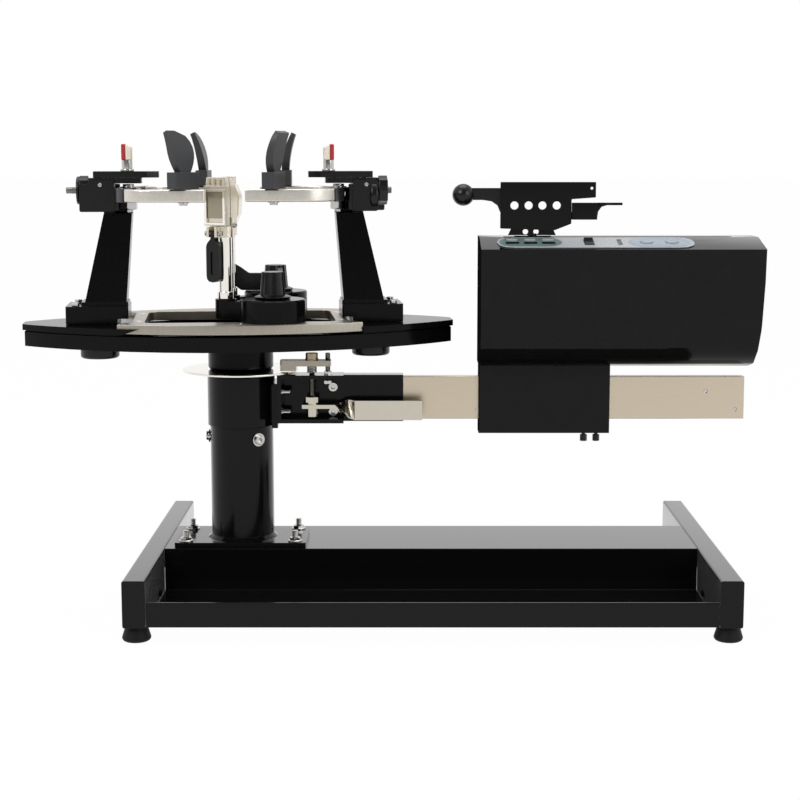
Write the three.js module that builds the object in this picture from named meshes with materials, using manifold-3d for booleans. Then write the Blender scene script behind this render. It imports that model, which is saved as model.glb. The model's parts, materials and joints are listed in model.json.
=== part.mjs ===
// Racket stringing machine: a standing base, a braked turntable with racket supports and two string clamps,
// and an electric tension head that slides on a flat rail. Millimetres, +Z up, the front towards -Y.
import * as THREE from "three";
import { mergeVertices } from "three/addons/utils/BufferGeometryUtils.js";
import Module from "manifold-3d";

const wasm = await Module();
wasm.setup();

// Shared fits
const seatGap = 0.3; // between two pieces that touch
const runGap = 0.5; // between a piece that moves and what guides it
const overrun = 2; // how far a cutting tool runs past a face
const mergeTolerance = 1e-3;
const roundSides = 24;
const smallSides = 12;
const pinSides = 8;
const cornerSteps = 3;

// Base: two side beams on rubber feet, joined by a folded deck with a tool tray in front
const beamWidth = 24.5;
const beamHeight = 51.2;
const beamLength = 414;
const beamEdge = 2.5;
const baseWidth = 653.3;
const columnInset = 110.2; // column axis from the left beam's outer face
const columnForward = 17.5; // column axis in front of the base's middle
const footHeight = 17;
const footSides = 18;
const footRadius = 15.4;
const footNeckRadius = 11.5;
const footRimHeight = 4;
const footInset = 18; // foot axis from the beam's end
const footRecess = 3; // countersink that the foot's screw sits in
const footScrewRadius = 4;
const deckDepth = 119.4;
const sheetThickness = 3;
const bendRadius = 2;
const trayReach = 145.5; // from the deck's front wall to the lip
const trayFloorHeight = 17.8; // underside of the tray above the ground
const lipHeight = 27;

// Column: a foot plate with a welded tube, and the bearing head bolted on top
const footPlateWidth = 149;
const footPlateDepth = 82;
const footPlateThickness = 6.2;
const footPlateCorner = 3;
const columnRadius = 36;
const columnWall = 3.5;
const columnTopHeight = 205; // above the ground
const weldLeg = 4;
const studSpacingX = 124;
const studSpacingY = 64;
const studRadius = 3.5;
const studHeight = 11.5;
const nutRadius = 6.8;
const nutHeight = 6;
const washerRadius = 8;
const washerThickness = 1.6;
const headRadius = 38.5;
const headHeight = 58.7;
const headEdge = 2;
const spigotLength = 32;
const setBoltDrop = 13.5; // set bolt axis below the tube's top
const setBoltRadius = 6.8;
const setBoltReach = 8;
const setBoltShankRadius = 3.5;
const flangeThickness = 7;
const flangeDepth = 50;
const flangeDrop = 1.5; // flange below the head's foot
const flangeShoulder = 9.5; // head's top above the flange
const flangeWebDepth = 34;
const setBoltFrontTurn = 36; // degrees from straight ahead towards the rail
const spindleRadius = 12;
const spindleDepth = 52; // below the head's top
const bearingHeight = 18;
const bearingRadius = 24;
const bearingInset = 3; // bearing top below the head's top

// Rail carrier: a channel bracket on the flange, and a sleeve for the end of the rail
const bracketLeft = 43.6;
const bracketRight = 118;
const bracketPlate = 4.5;
const bracketHeight = 54.3;
const bracketRise = 1.8; // bracket's top above the bearing head
const bracketShelfDepth = 26; // of its two shelves in front of the web
const bracketEndDepth = 22; // of the end plate behind the web
const socketBoltRadius = 5.3;
const socketBoltHeight = 4;
const socketBoltPlace = 105.5;
const socketBoltDrops = [16, 44.5]; // below the bracket's top
const flangeNutRadius = 5.5;
const flangeNutLength = 6.5;
const flangeNutDrops = [19.8, 42.8];
const sleeveLength = 67;
const sleeveWall = 2;
const railThickness = 14;
const railHeight = 48.6;
const railRise = 0.5; // underside above the bracket's foot
const railStart = 70;
const railEnd = 572.9;
const railHoleRadius = 2.2;
const railHoleDepth = 4;
const railHolePlaces = [529.3, 562.9]; // from the column axis
const railHoleHeightShares = [0.66, 0.22];

// Brake: a disc on the turntable's hub, pinched between an anvil on the bracket and a lever-drawn plate
const discRadius = 66;
const discThickness = 2;
const discRise = 3.1; // disc underside above the bearing head's top
const hubRadius = 36.9;
const hubHeight = 29.5;
const anvilWidth = 18;
const anvilDepth = 16;
const anvilLeft = 46.5;
const brakePlateLeft = 47;
const brakePlateRight = 104;
const brakePlateThickness = 6.4;
const brakePlateDepth = 17;
const brakePlateRise = 10; // plate underside above the bracket's top
const brakePadLength = 18;
const brakeLineDepth = 28; // brake line in front of the column axis
const brakeScrewPlace = 82.4;
const brakeScrewRadius = 3.2;
const brakeCapRadius = 7;
const brakeCapHeight = 8;
const brakeTravel = 1.2;
const guidePinPlace = 100.3;
const guidePinRadius = 3;
const guidePinRise = 24.2; // above the bracket's top
const guideNutRadius = 4.5;
const leverHubRadius = 6.7;
const leverHubHeight = 22;
const leverHubDrop = 25.4; // hub top below the bracket's top
const leverCollarRadius = 7.8;
const leverCollarHeight = 6;
const leverBladeDrop = 5;
const leverStripWidth = 16;
const leverStripThickness = 4.4;
const leverStraightLength = 26;
const leverTwistLength = 22;
const leverBladeLength = 76;
const leverBladeWidth = 22;
const leverOffset = 11.6; // strip above the hub's foot

// Turntable: a boat-shaped casting with a plate ring let into its top
const turntableHalfLength = 239.5;
const turntableReach = 250; // half length of the curve that its sides follow
const turntableHalfDepth = 106;
const turntableFullness = 0.85;
const turntableSteps = 18;
const turntableAngle = 6; // degrees at rest
const turntableBodyHeight = 16;
const turntableLipHeight = 8.6;
const turntableLipOverhang = 2;
const turntableGroove = 2;
const turntableGrooveDepth = 2.5;
const ringThickness = 10.4;
const ringHalfLength = 134;
const ringWaist = 119.4;
const ringWaistDepth = 55;
const ringOpeningHalfLength = 105;
const ringOpeningHalfDepth = 66;
const ringOpeningCorner = 12;
const ringEdgeInset = 0.6;
const ringFloor = 3; // ring underside above the casting's step
const ringPadRadius = 6;
const ringPadPlaces = [[112, 71], [-112, 71], [112, -71], [-112, -71], [0, 92], [0, -92]];
const pocketDepth = 9;
const pocketMargin = 14; // pocket beyond the ring's opening

// Racket towers, drawn for the right-hand one with +X outwards, and turned half round for the left-hand one
const towerPlaceRight = 148.5;
const towerPlaceLeft = 158;
const towerTravel = 30;
const towerFootLength = 69;
const towerFootDepth = 64;
const towerFootHeight = 20;
const towerFootEdge = 3;
const towerPlinth = 4;
const towerRebateHeight = 6; // clears the ring when the tower slides in
const towerRebateLength = 12;
const postBottomInner = -32;
const postBottomOuter = 14;
const postTopInner = -40;
const postTopOuter = -9;
const postTopHeight = 121.5; // above the tower foot's underside
const postBottomDepth = 42;
const postTopDepth = 32;
const lockRadius = 21.7;
const lockHeight = 15.4;
const lockEdge = 2;
const lockBoltRadius = 5;
const lockBoltLength = 38;
const lockGrip = 6;
const armPivot = -36; // arm bolt from the tower's middle
const armRise = 14.6; // arm underside above the post's top
const armHeight = 13.5;
const armWidth = 14;
const armHubRadius = 13.5;
const armHalfSpread = 92;
const armReach = 96.5;
const armCorner = 42;
const armHubNutRadius = 10.5;
const armTurnLeft = -6; // degrees against the turntable
const armTurnRight = -6;
const housingInner = -21.5;
const housingOuter = 8;
const housingBoxOuter = 17;
const housingDepth = 40;
const housingBoxDepth = 10.5;
const housingBottom = 123.5; // above the tower foot's underside
const housingTop = 158;
const housingEdge = 4;
const guideLength = 29.5;
const guideTop = 160.6; // above the tower foot's underside
const housingFootDepth = 24;
const guideThickness = 6;
const screwHeight = 146.6; // adjusting screw above the tower foot's underside
const screwOffset = -8; // towards the tower's own front
const screwRadius = 4;
const screwLength = 26;
const screwTipRight = 4.5;
const screwTipLeft = 15;
const starKnobRadius = 16.5;
const starKnobThickness = 10;
const starFlutes = 8;
const starFluteDepthShare = 0.14;
const starSteps = 3;
const supportInner = -70;
const supportOuter = 2;
const supportBarHeight = 7;
const supportBarWidth = 24;
const supportBarTaper = 7;
const supportStemRadius = 6;
const supportStemHeight = 12.3;
const supportStemPlaceLeft = -35;
const supportStemPlaceRight = -47;
const padHeight = 17.7;
const padWidth = 24;
const padThickness = 11.2;
const supportCorner = 1;
const padLipThickness = 4.6;
const padLipHeight = 15;
const hookLeftPlace = 73; // hook post from the arm's bolt
const hookRightPlace = 66;
const hookBlockLength = 14; // the way the blade leans
const hookBlockDepth = 35;
const hookBlockHeight = 18;
const hookBlockEdge = 1.5;
const hookBladeWidth = 32;
const hookNeckWidth = 13;
const hookBladeThickness = 9;
const hookBladeHeight = 43;
const hookBladeLean = 10;
const hookBladeThinShare = 0.4; // thickness lost at the tip
const hookFlareShare = 0.55; // height at which the blade is at its widest
const hookSteps = 8;
const hookCuts = { left: 20, right: 4 }; // how far the blade's rear corner is rounded down
const hookTurns = [142, 178, 162, 182]; // degrees: front left, rear left, front right, rear right

// String clamps, drawn with the clamp's handle towards -Y
const clampFrontPlace = [35.5, -60];
const clampRearPlace = [42.1, 56];
const clampBases = [
  { name: "front", place: clampFrontPlace, arm: 144.8, knob: 78, turn: -27 },
  { name: "rear", place: clampRearPlace, arm: -150, knob: 176, turn: -92 },
];
const baseRadius = 36.5;
const baseHeight = 24.5;
const baseEdge = 1.5;
const baseArmLength = 62.5;
const baseArmWidth = 17;
const baseArmHeight = 20;
const lugRadius = 12.2;
const lugHeight = 22;
const shoeNeckRadius = 5.4;
const shoeRadius = 15;
const shoeHeight = 7.5;
const baseBoreRadius = 6;
const topKnobRadius = 20.5;
const topKnobNeckRadius = 14.5;
const topKnobTopRadius = 12.2;
const topKnobHeight = 29.5;
const topKnobFlange = 4.5;
const topKnobFlutes = 12;
const topKnobFluteDepthShare = 0.09;
const wingLength = 50;
const wingThickness = 5;
const wingHeight = 31;
const wingLowHeight = 20;
const wingNose = 7;
const wingCrestShare = 0.86;
const wingWaistShare = 0.62;
const clampPostRadius = 7.5;
const clampPostTop = 102.5; // above the ring
const clampPostInset = 8;
const clampInner = 8; // jaw's right side from the post's axis
const clampOuter = -20;
const clampHeadBottom = 98.5; // above the ring
const clampHeadTop = 147.3;
const clampToothHeight = 9.2;
const clampTeeth = 4;
const toothFootShare = 0.42; // half widths of a tooth against the pitch
const toothTipShare = 0.25;
const clampBackDepth = 15;
const clampJawDepth = 10;
const clampJawGap = 0.8;
const clampFaceBorder = 3;
const clampFaceDepth = 2.5;
const handleTop = 95; // pivot above the ring
const handleLength = 54;
const handleWidth = 16.5;
const handleThickness = 6;
const handleEndShare = 0.9; // corner of its end against half its width
const handleSlotWidth = 5;
const handleSlotLength = 26;
const handlePlace = -6.5;
const handleDepth = 13.5; // pivot in front of the post's axis
const handleEarThickness = 3;
const handleEarDrop = 4; // ears below the pivot
const handleEarNose = 4; // ears in front of the pivot
const handleEyeRise = 3;
const handleShoulderDrop = 6; // eye's foot below the pivot
const handleLoopDrop = 12; // loop's top below the pivot
const handleLoopCorner = 4;
const handleSlotRise = 8; // slot above the handle's end
const clampSocketRadius = 9.8;
const clampSocketDrop = 8; // socket below the head's foot
const clampSocketRise = 14;
const clampLinkFront = -5;
const clampLinkRise = 4;
const clampFootRise = 5; // moving jaw above the head's foot
const clampCrownShare = 0.62; // depth of the fixed jaw's top
const clampBulgeShares = [0.95, 0.75]; // where its back is curved out
const clampHeelShare = 0.7;
const clampBulge = 1.1;

// Tension head, with its heights above the rail's underside
const coverLeft = 270.6;
const coverRight = 584;
const coverFront = 58; // in front of the rail's middle
const coverRidge = 8;
const coverBack = 38;
const coverBottom = 61.8;
const coverFrontTop = 195.6;
const coverTop = 206.6;
const coverWall = 3;
const coverEndBow = 7.5;
const coverUnderRadius = 44;
const coverBendShare = 0.45;
const coverEdge = 4;
const skirtRight = 419.5;
const skirtBottom = -15.4;
const skirtFront = 14;
const slotStart = 297;
const slotEnd = 556;
const slotHalfWidth = 7;
const slotLine = 2; // slot and gripper line behind the rail's middle
const inletWidth = 27.5;
const inletHeight = 20;
const inletPlace = 540;
const inletLevel = 118;
const inletDepth = 16;
const inletTongueHeight = 12;
const carriageStart = 303;
const carriageLength = 55;
const carriageDepth = 20;
const carriageHeight = 18;
const carriageFlange = 1.2;
const carriageFlangeMargin = 4;
const swivelRadius = 5;
const swivelPlace = 330.5;
const plateLeft = 293.8;
const plateRight = 400.7;
const plateTop = 268;
const plateBottom = 216.2;
const plateFront = 10; // in front of the gripper line
const plateThickness = 5;
const plateCorner = 1;
const plateHoleRadius = 4.6;
const plateHolePlaces = [309.6, 325.5, 340.9, 357];
const plateHoleLevel = 241.9;
const plateHornBottom = 250.8;
const plateShoulder = 373.6;
const plateFootRight = 355;
const plateChamfer = 5.3;
const plateEyeRadius = 1.6;
const plateEyeInset = 4.6;
const plateFloorDepth = 24;
const plateFloorThickness = 3;
const legsTopLeft = 307;
const legsTopRight = 353;
const legsSplay = 4;
const legsHoleRadius = 3.1;
const legsThickness = 5;
const legsHolePlaceShares = [0.34, 0.6];
const jawLeft = 306;
const jawRight = 403.4;
const jawTop = 244.8;
const jawBottom = 225.7;
const jawBarTop = 234.5;
const jawBarThickness = 6;
const jawPadLeft = 374.6;
const jawOpen = 2.2;
const jawTabRight = 432;
const jawTabThickness = 3;
const jawWebReach = 11;
const leverPlateThickness = 4.6;
const leverRight = 304;
const leverTip = 262;
const leverTopLevel = 261.2;
const leverUnderLevel = 247.8;
const leverLowLevel = 233.8;
const leverNarrow = 294;
const ballRadius = 12.3;
const ballPlace = 252.5;
const ballLevel = 253.6;
const leverPinRadius = 2.5;
const leverPinPlace = 299.5;
const leverPinLevel = 240;
const thumbPlaces = [391.4, 405.7];
const thumbHeadRadius = 4.2;
const thumbHeadHeight = 7.5;
const thumbFlutes = 7;
const thumbFluteDepthShare = 0.14;
const thumbGap = 3.5; // bare shank under the skirt
const thumbShankRadius = 2.2;
const membraneLeft = 289;
const membraneRight = 508;
const membraneDepth = 41;
const membraneThickness = 0.9;
const switchPlace = 391;
const switchLength = 10;
const switchDepth = 22;
const switchHeight = 7;
const keyDownPlace = 455;
const keyUpPlace = 483;
const keys = [["key_down", keyDownPlace], ["key_up", keyUpPlace]];
const keyRadius = 7;
const keyHeight = 4;
const keyProud = 1.6;
const keyEdge = 0.7;
const rockerSlope = 1; // its ends above and below its middle
const rockerCorner = 0.6;

// Finishes
const finish = (color, roughness, metalness) =>
  new THREE.MeshStandardMaterial({ color, roughness, metalness });
const blackPaint = finish(0x101011, 0.35, 0.1);
const blackGloss = finish(0x08080a, 0.12, 0);
const blackPlastic = finish(0x1b1c1d, 0.5, 0);
const blackRubber = finish(0x141414, 0.85, 0);
const darkNylon = finish(0x4a4c4f, 0.6, 0);
const castAluminium = finish(0xd9d6cf, 0.38, 0.9);
const brushedSteel = finish(0xc9c4bb, 0.3, 1);
const polishedSteel = finish(0xe8e8e6, 0.15, 1);
const whitePad = finish(0xe8e6df, 0.6, 0);
const membraneGrey = finish(0xb9c4c6, 0.45, 0);

// Turn a geometry into a closed solid; a skin drawn inside out is turned to face outwards
function solid(geometry) {
  const plain = geometry.clone();
  plain.deleteAttribute("normal");
  plain.deleteAttribute("uv");
  const merged = mergeVertices(plain, mergeTolerance);
  const vertProperties = merged.attributes.position.array;
  const triVerts = new Uint32Array(merged.index.array);
  const body = new wasm.Manifold(new wasm.Mesh({ numProp: 3, vertProperties, triVerts }));
  if (body.volume() >= 0) return body;
  for (let i = 0; i < triVerts.length; i += 3) {
    [triVerts[i + 1], triVerts[i + 2]] = [triVerts[i + 2], triVerts[i + 1]];
  }
  return new wasm.Manifold(new wasm.Mesh({ numProp: 3, vertProperties, triVerts }));
}

function shapeOf(body) {
  const mesh = body.getMesh();
  const geometry = new THREE.BufferGeometry();
  geometry.setAttribute("position", new THREE.BufferAttribute(Float32Array.from(mesh.vertProperties), 3));
  geometry.setIndex(new THREE.BufferAttribute(Uint32Array.from(mesh.triVerts), 1));
  return geometry;
}

const join = (...shapes) => shapeOf(shapes.map(solid).reduce((a, b) => a.add(b)));
const cut = (shape, ...tools) => shapeOf(tools.map(solid).reduce((a, b) => a.subtract(b), solid(shape)));

const around = (middle, width) => [middle - width / 2, middle + width / 2];

function block([x0, x1], [y0, y1], [z0, z1]) {
  const geometry = new THREE.BoxGeometry(x1 - x0, y1 - y0, z1 - z0);
  geometry.translate((x0 + x1) / 2, (y0 + y1) / 2, (z0 + z1) / 2);
  return geometry;
}

// A profile of [radius, height] turned about the Z axis
function turned(profile, sides = roundSides) {
  const points = profile.map(([radius, height]) => new THREE.Vector2(radius, height));
  return new THREE.LatheGeometry(points, sides).rotateX(Math.PI / 2);
}

const rod = (radius, [z0, z1], sides = smallSides) =>
  turned([[0, z0], [radius, z0], [radius, z1], [0, z1]], sides);
const rodAlongX = (radius, span, sides = smallSides) => rod(radius, span, sides).rotateY(Math.PI / 2);
const rodAlongY = (radius, [y0, y1], sides = smallSides) =>
  rod(radius, [-y1, -y0], sides).rotateX(Math.PI / 2);

// A rod that is hexagonal, flats to the front
const hexagon = (radius, span) => rod(radius, span, 6);

// An outline through corners [x, y], each rounded by the radius or by a third value of its own
function rounded(corners, radius) {
  const outline = new THREE.Shape();
  corners.forEach(([x, y, own = radius], i) => {
    const before = corners[(i + corners.length - 1) % corners.length];
    const after = corners[(i + 1) % corners.length];
    const towards = (other) =>
      new THREE.Vector2(other[0] - x, other[1] - y).setLength(own).add(new THREE.Vector2(x, y));
    const start = own > 0 ? towards(before) : new THREE.Vector2(x, y);
    if (i === 0) outline.moveTo(start.x, start.y);
    else outline.lineTo(start.x, start.y);
    if (own > 0) {
      const end = towards(after);
      outline.quadraticCurveTo(x, y, end.x, end.y);
    }
  });
  outline.closePath();
  return outline;
}

const rectangle = ([x0, x1], [y0, y1], radius) =>
  rounded([[x0, y0], [x1, y0], [x1, y1], [x0, y1]], radius);

function circle(radius, [x, y], sides = smallSides) {
  const corners = Array.from({ length: sides }, (_, i) => (2 * Math.PI * i) / sides);
  const toPoint = (angle) => new THREE.Vector2(x + radius * Math.cos(angle), y + radius * Math.sin(angle));
  return new THREE.Shape(corners.map(toPoint));
}

function extruded(outline, depth) {
  return new THREE.ExtrudeGeometry(outline, { depth, bevelEnabled: false, curveSegments: cornerSteps });
}

// An outline drawn in plan, in front view or in side view, given its thickness
const slab = (outline, [z0, z1]) => extruded(outline, z1 - z0).translate(0, 0, z0);
const wall = (outline, [y0, y1]) => extruded(outline, y1 - y0).rotateX(Math.PI / 2).translate(0, y1, 0);
const rib = (outline, [x0, x1]) =>
  extruded(outline, x1 - x0).rotateX(Math.PI / 2).rotateZ(Math.PI / 2).translate(x0, 0, 0);

// A skin over sections of equal count, closed at both ends by a fan from the section's middle
function loft(sections) {
  const count = sections[0].length;
  const points = sections.flat();
  const faces = [];
  for (let s = 0; s < sections.length - 1; s++) {
    for (let i = 0; i < count; i++) {
      const a = s * count + i;
      const b = s * count + ((i + 1) % count);
      faces.push(a, b, b + count, a, b + count, a + count);
    }
  }
  [0, sections.length - 1].forEach((s) => {
    const middle = sections[s].reduce((sum, p) => sum.add(p), new THREE.Vector3()).divideScalar(count);
    const tip = points.push(middle) - 1;
    for (let i = 0; i < count; i++) {
      const a = s * count + i;
      const b = s * count + ((i + 1) % count);
      if (s === 0) faces.push(tip, b, a);
      else faces.push(tip, a, b);
    }
  });
  const geometry = new THREE.BufferGeometry().setFromPoints(points);
  geometry.setIndex(faces);
  return geometry;
}

// A level rectangular section for a loft
const section = ([x0, x1], [y0, y1], z) => [
  new THREE.Vector3(x0, y0, z),
  new THREE.Vector3(x1, y0, z),
  new THREE.Vector3(x1, y1, z),
  new THREE.Vector3(x0, y1, z),
];

// A ring of points whose radius swings in and out once for each flute
function flutedRing(radius, depthShare, flutes, z, stepsEach = 2) {
  const steps = flutes * stepsEach;
  return Array.from({ length: steps }, (_, i) => {
    const angle = (2 * Math.PI * i) / steps;
    const r = radius * (1 - depthShare / 2 + (depthShare / 2) * Math.cos(flutes * angle));
    return new THREE.Vector3(r * Math.cos(angle), r * Math.sin(angle), z);
  });
}

const radians = THREE.MathUtils.degToRad;

function piece(name, shape, material, group) {
  const plain = shape.index ? shape.toNonIndexed() : shape;
  plain.computeVertexNormals();
  const mesh = new THREE.Mesh(plain, material);
  mesh.name = name;
  group.add(mesh);
  return mesh;
}

function groupAt(parent, [x, y, z], turn = 0) {
  const group = new THREE.Group();
  group.position.set(x, y, z);
  group.rotation.z = radians(turn);
  parent.add(group);
  return group;
}

const machine = new THREE.Group();

// Levels that the pieces stack up to
const beamBottom = footHeight + seatGap;
const beamTop = beamBottom + beamHeight;
const plateBase = beamTop + seatGap;
const plateLevel = plateBase + footPlateThickness;
const headBase = columnTopHeight + seatGap;
const headTop = headBase + headHeight;
const bracketTop = headTop + bracketRise;
const bracketBottom = bracketTop - bracketHeight;
const railBottom = bracketBottom + railRise;
const railTop = railBottom + railHeight;
const discBase = headTop + discRise;
const hubBase = discBase + discThickness + seatGap;
const hubTop = hubBase + hubHeight;
const turntableBase = hubTop + seatGap;
const stepLevel = turntableBase + turntableBodyHeight;
const lipLevel = stepLevel + turntableLipHeight;
const ringBase = stepLevel + ringFloor;
const ringTop = ringBase + ringThickness;
const towerBase = lipLevel + seatGap;

// Base
const baseLeft = -columnInset;
const baseRight = baseLeft + baseWidth;
const baseFront = columnForward - beamLength / 2;
const baseBack = columnForward + beamLength / 2;
const deckFront = columnForward - deckDepth / 2;
const deckBack = columnForward + deckDepth / 2;
const innerSpan = [baseLeft + beamWidth + seatGap, baseRight - beamWidth - seatGap];

function sideBeam(x0) {
  const outline = rectangle([x0, x0 + beamWidth], [beamBottom, beamTop], beamEdge);
  return wall(outline, [baseFront, baseBack]);
}

function foot() {
  const profile = [
    [0, footRecess],
    [footScrewRadius, footRecess],
    [footScrewRadius, 0],
    [footRadius - bendRadius, 0],
    [footRadius, bendRadius],
    [footRadius, footRimHeight],
    [footNeckRadius, footHeight],
    [0, footHeight],
  ];
  return turned(profile, footSides);
}

function deckSheet() {
  const t = sheetThickness;
  const lipFront = deckFront - trayReach;
  const corners = [
    [deckBack, trayFloorHeight],
    [deckBack, beamTop],
    [deckFront, beamTop],
    [deckFront, trayFloorHeight + t],
    [lipFront + t, trayFloorHeight + t],
    [lipFront + t, trayFloorHeight + lipHeight],
    [lipFront, trayFloorHeight + lipHeight],
    [lipFront, trayFloorHeight],
    [deckFront + t, trayFloorHeight],
    [deckFront + t, beamTop - t],
    [deckBack - t, beamTop - t],
    [deckBack - t, trayFloorHeight],
  ];
  const edge = t / 3;
  return rib(rounded(corners, edge), innerSpan);
}

piece("side_beam_left", sideBeam(baseLeft), blackPaint, machine);
piece("side_beam_right", sideBeam(baseRight - beamWidth), blackPaint, machine);
const footPlaces = [
  ["foot_front_left", baseLeft + beamWidth / 2, baseFront + footInset],
  ["foot_front_right", baseRight - beamWidth / 2, baseFront + footInset],
  ["foot_rear_left", baseLeft + beamWidth / 2, baseBack - footInset],
  ["foot_rear_right", baseRight - beamWidth / 2, baseBack - footInset],
];
footPlaces.forEach(([name, x, y]) => piece(name, foot().translate(x, y, 0), blackRubber, machine));
piece("deck", deckSheet(), blackPaint, machine);

// Column with its foot plate, weld and hold-down studs in one
function column() {
  const plate = slab(
    rectangle(around(0, footPlateWidth), around(0, footPlateDepth), footPlateCorner),
    [plateBase, plateLevel],
  );
  const tube = rod(columnRadius, [plateBase, columnTopHeight], roundSides);
  const weld = turned([
    [0, plateLevel - overrun],
    [columnRadius + weldLeg, plateLevel - overrun],
    [columnRadius + weldLeg, plateLevel],
    [columnRadius, plateLevel + weldLeg],
    [0, plateLevel + weldLeg],
  ]);
  const bore = rod(columnRadius - columnWall, [plateLevel, columnTopHeight + overrun], roundSides);
  const studs = [];
  [-1, 1].forEach((sx) => {
    [-1, 1].forEach((sy) => {
      const x = (sx * studSpacingX) / 2;
      const y = (sy * studSpacingY) / 2;
      const washerTop = plateLevel + washerThickness;
      const studHeights = [plateLevel - overrun, washerTop + studHeight];
      studs.push(rod(studRadius, studHeights, pinSides).translate(x, y, 0));
      studs.push(rod(washerRadius, [plateLevel - overrun, washerTop]).translate(x, y, 0));
      studs.push(hexagon(nutRadius, [plateLevel, washerTop + nutHeight]).translate(x, y, 0));
    });
  });
  const boltLevel = columnTopHeight - setBoltDrop;
  const holes = [
    rodAlongX(setBoltShankRadius + seatGap, [-columnRadius - overrun, 0]).translate(0, 0, boltLevel),
    rodAlongY(setBoltShankRadius + seatGap, [-columnRadius - overrun, 0])
      .rotateZ(radians(setBoltFrontTurn))
      .translate(0, 0, boltLevel),
  ];
  return cut(join(plate, tube, weld, ...studs), bore, ...holes);
}

// Bearing head: a thick sleeve with a spigot down inside the tube, its two set bolts and the welded flange
function columnHead() {
  const spigotRadius = columnRadius - columnWall - runGap;
  const body = turned([
    [0, headBase - spigotLength],
    [spigotRadius, headBase - spigotLength],
    [spigotRadius, headBase],
    [headRadius, headBase],
    [headRadius, headTop - headEdge],
    [headRadius - headEdge, headTop],
    [0, headTop],
  ]);
  const flangeFace = bracketLeft - seatGap;
  const flangeTop = headTop - flangeShoulder;
  const flangeHeights = [headBase - flangeDrop, flangeTop];
  const flange = block([flangeFace - flangeThickness, flangeFace], around(0, flangeDepth), flangeHeights);
  const web = block(
    [0, flangeFace - flangeThickness / 2],
    around(0, flangeWebDepth),
    [headBase + flangeThickness / 2, flangeTop - flangeThickness / 2],
  );
  const boltLevel = columnTopHeight - setBoltDrop;
  const seat = columnRadius + seatGap;
  const bolt = () =>
    join(
      rodAlongX(setBoltShankRadius, [0, seat + setBoltReach]),
      rodAlongX(setBoltRadius, [seat, seat + setBoltReach]),
    );
  const bolts = [
    bolt().rotateZ(Math.PI).translate(0, 0, boltLevel),
    bolt().rotateZ(radians(setBoltFrontTurn - 90)).translate(0, 0, boltLevel),
  ];
  const seatBase = headTop - bearingInset - bearingHeight - seatGap;
  const bearingSeat = rod(bearingRadius + seatGap, [seatBase, headTop + overrun], roundSides);
  const boreRadius = spindleRadius + columnWall;
  const bore = rod(boreRadius, [headBase - spigotLength - overrun, seatBase + overrun], roundSides);
  return join(cut(join(body, flange, web), bearingSeat, bore), ...bolts.map((b) => cut(b, bore)));
}

function bearing() {
  const top = headTop - bearingInset;
  const outer = rod(bearingRadius, [top - bearingHeight, top], roundSides);
  const bore = rod(spindleRadius + seatGap, [top - bearingHeight - overrun, top + overrun], roundSides);
  return cut(outer, bore);
}

piece("column", column(), blackPaint, machine);
piece("column_head", columnHead(), blackPaint, machine);
piece("spindle_bearing", bearing(), polishedSteel, machine);

// Rail carrier
const webFront = -railThickness / 2 - seatGap - bracketPlate;
const webBack = -railThickness / 2 - seatGap;
const sleeveEnd = bracketRight + sleeveLength;
const brakeLine = -brakeLineDepth;

function railBracket() {
  const shelfFront = webFront - bracketShelfDepth;
  const heights = [bracketBottom, bracketTop];
  const web = block([bracketLeft, bracketRight], [webFront, webBack], heights);
  const endPlate = block([bracketLeft, bracketLeft + bracketPlate], [shelfFront, bracketEndDepth], heights);
  const shelfHeights = [bracketTop - bracketPlate, bracketTop];
  const topShelf = block([bracketLeft, bracketRight], [shelfFront, webBack], shelfHeights);
  const lowShelf = block(
    [bracketLeft, bracketRight],
    [shelfFront, webBack],
    [bracketBottom, bracketBottom + bracketPlate],
  );
  const half = railThickness / 2 + seatGap;
  const sleeveX = [bracketRight - bracketPlate, sleeveEnd];
  const sleeveY = [-half - sleeveWall, half + sleeveWall];
  const sleeve = cut(
    slab(rectangle(sleeveX, sleeveY, sleeveWall / 2), [
      railBottom - seatGap - sleeveWall,
      railTop + seatGap + sleeveWall,
    ]),
    block([bracketLeft, sleeveEnd + overrun], [-half, half], [railBottom - seatGap, railTop + seatGap]),
  );
  const sockets = socketBoltDrops.map((drop) =>
    rodAlongY(socketBoltRadius, [webFront - socketBoltHeight, webFront + overrun / 2])
      .translate(socketBoltPlace, 0, bracketTop - drop),
  );
  const endFace = bracketLeft + bracketPlate;
  const nuts = flangeNutDrops.map((drop) =>
    hexagon(flangeNutRadius, [endFace - overrun / 2, endFace + flangeNutLength])
      .rotateY(Math.PI / 2)
      .translate(0, (shelfFront + webFront) / 2, bracketTop - drop),
  );
  const anvil = block(
    [anvilLeft, anvilLeft + anvilWidth],
    around(brakeLine, anvilDepth),
    [bracketTop - overrun, discBase - seatGap],
  );
  const nutBase = bracketTop - bracketPlate - guideNutRadius;
  const pin = rod(guidePinRadius, [nutBase, bracketTop + guidePinRise]).translate(
    guidePinPlace,
    brakeLine,
    0,
  );
  const pinNut = hexagon(guideNutRadius, [nutBase, bracketTop - overrun]).translate(
    guidePinPlace,
    brakeLine,
    0,
  );
  const screwHeights = [bracketTop - 2 * bracketPlate, bracketTop + overrun];
  const screwHole = rod(brakeScrewRadius + runGap, screwHeights).translate(
    brakeScrewPlace,
    brakeLine,
    0,
  );
  return cut(
    join(web, endPlate, topShelf, lowShelf, sleeve, anvil, pin, pinNut, ...sockets, ...nuts),
    screwHole,
  );
}

function rail() {
  const bar = block([railStart, railEnd], around(0, railThickness), [railBottom, railTop]);
  const holes = railHolePlaces.map((x, i) =>
    rodAlongY(railHoleRadius, [-railThickness / 2 - overrun, -railThickness / 2 + railHoleDepth]).translate(
      x,
      0,
      railBottom + (railTop - railBottom) * railHoleHeightShares[i],
    ),
  );
  return cut(bar, ...holes);
}

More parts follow.
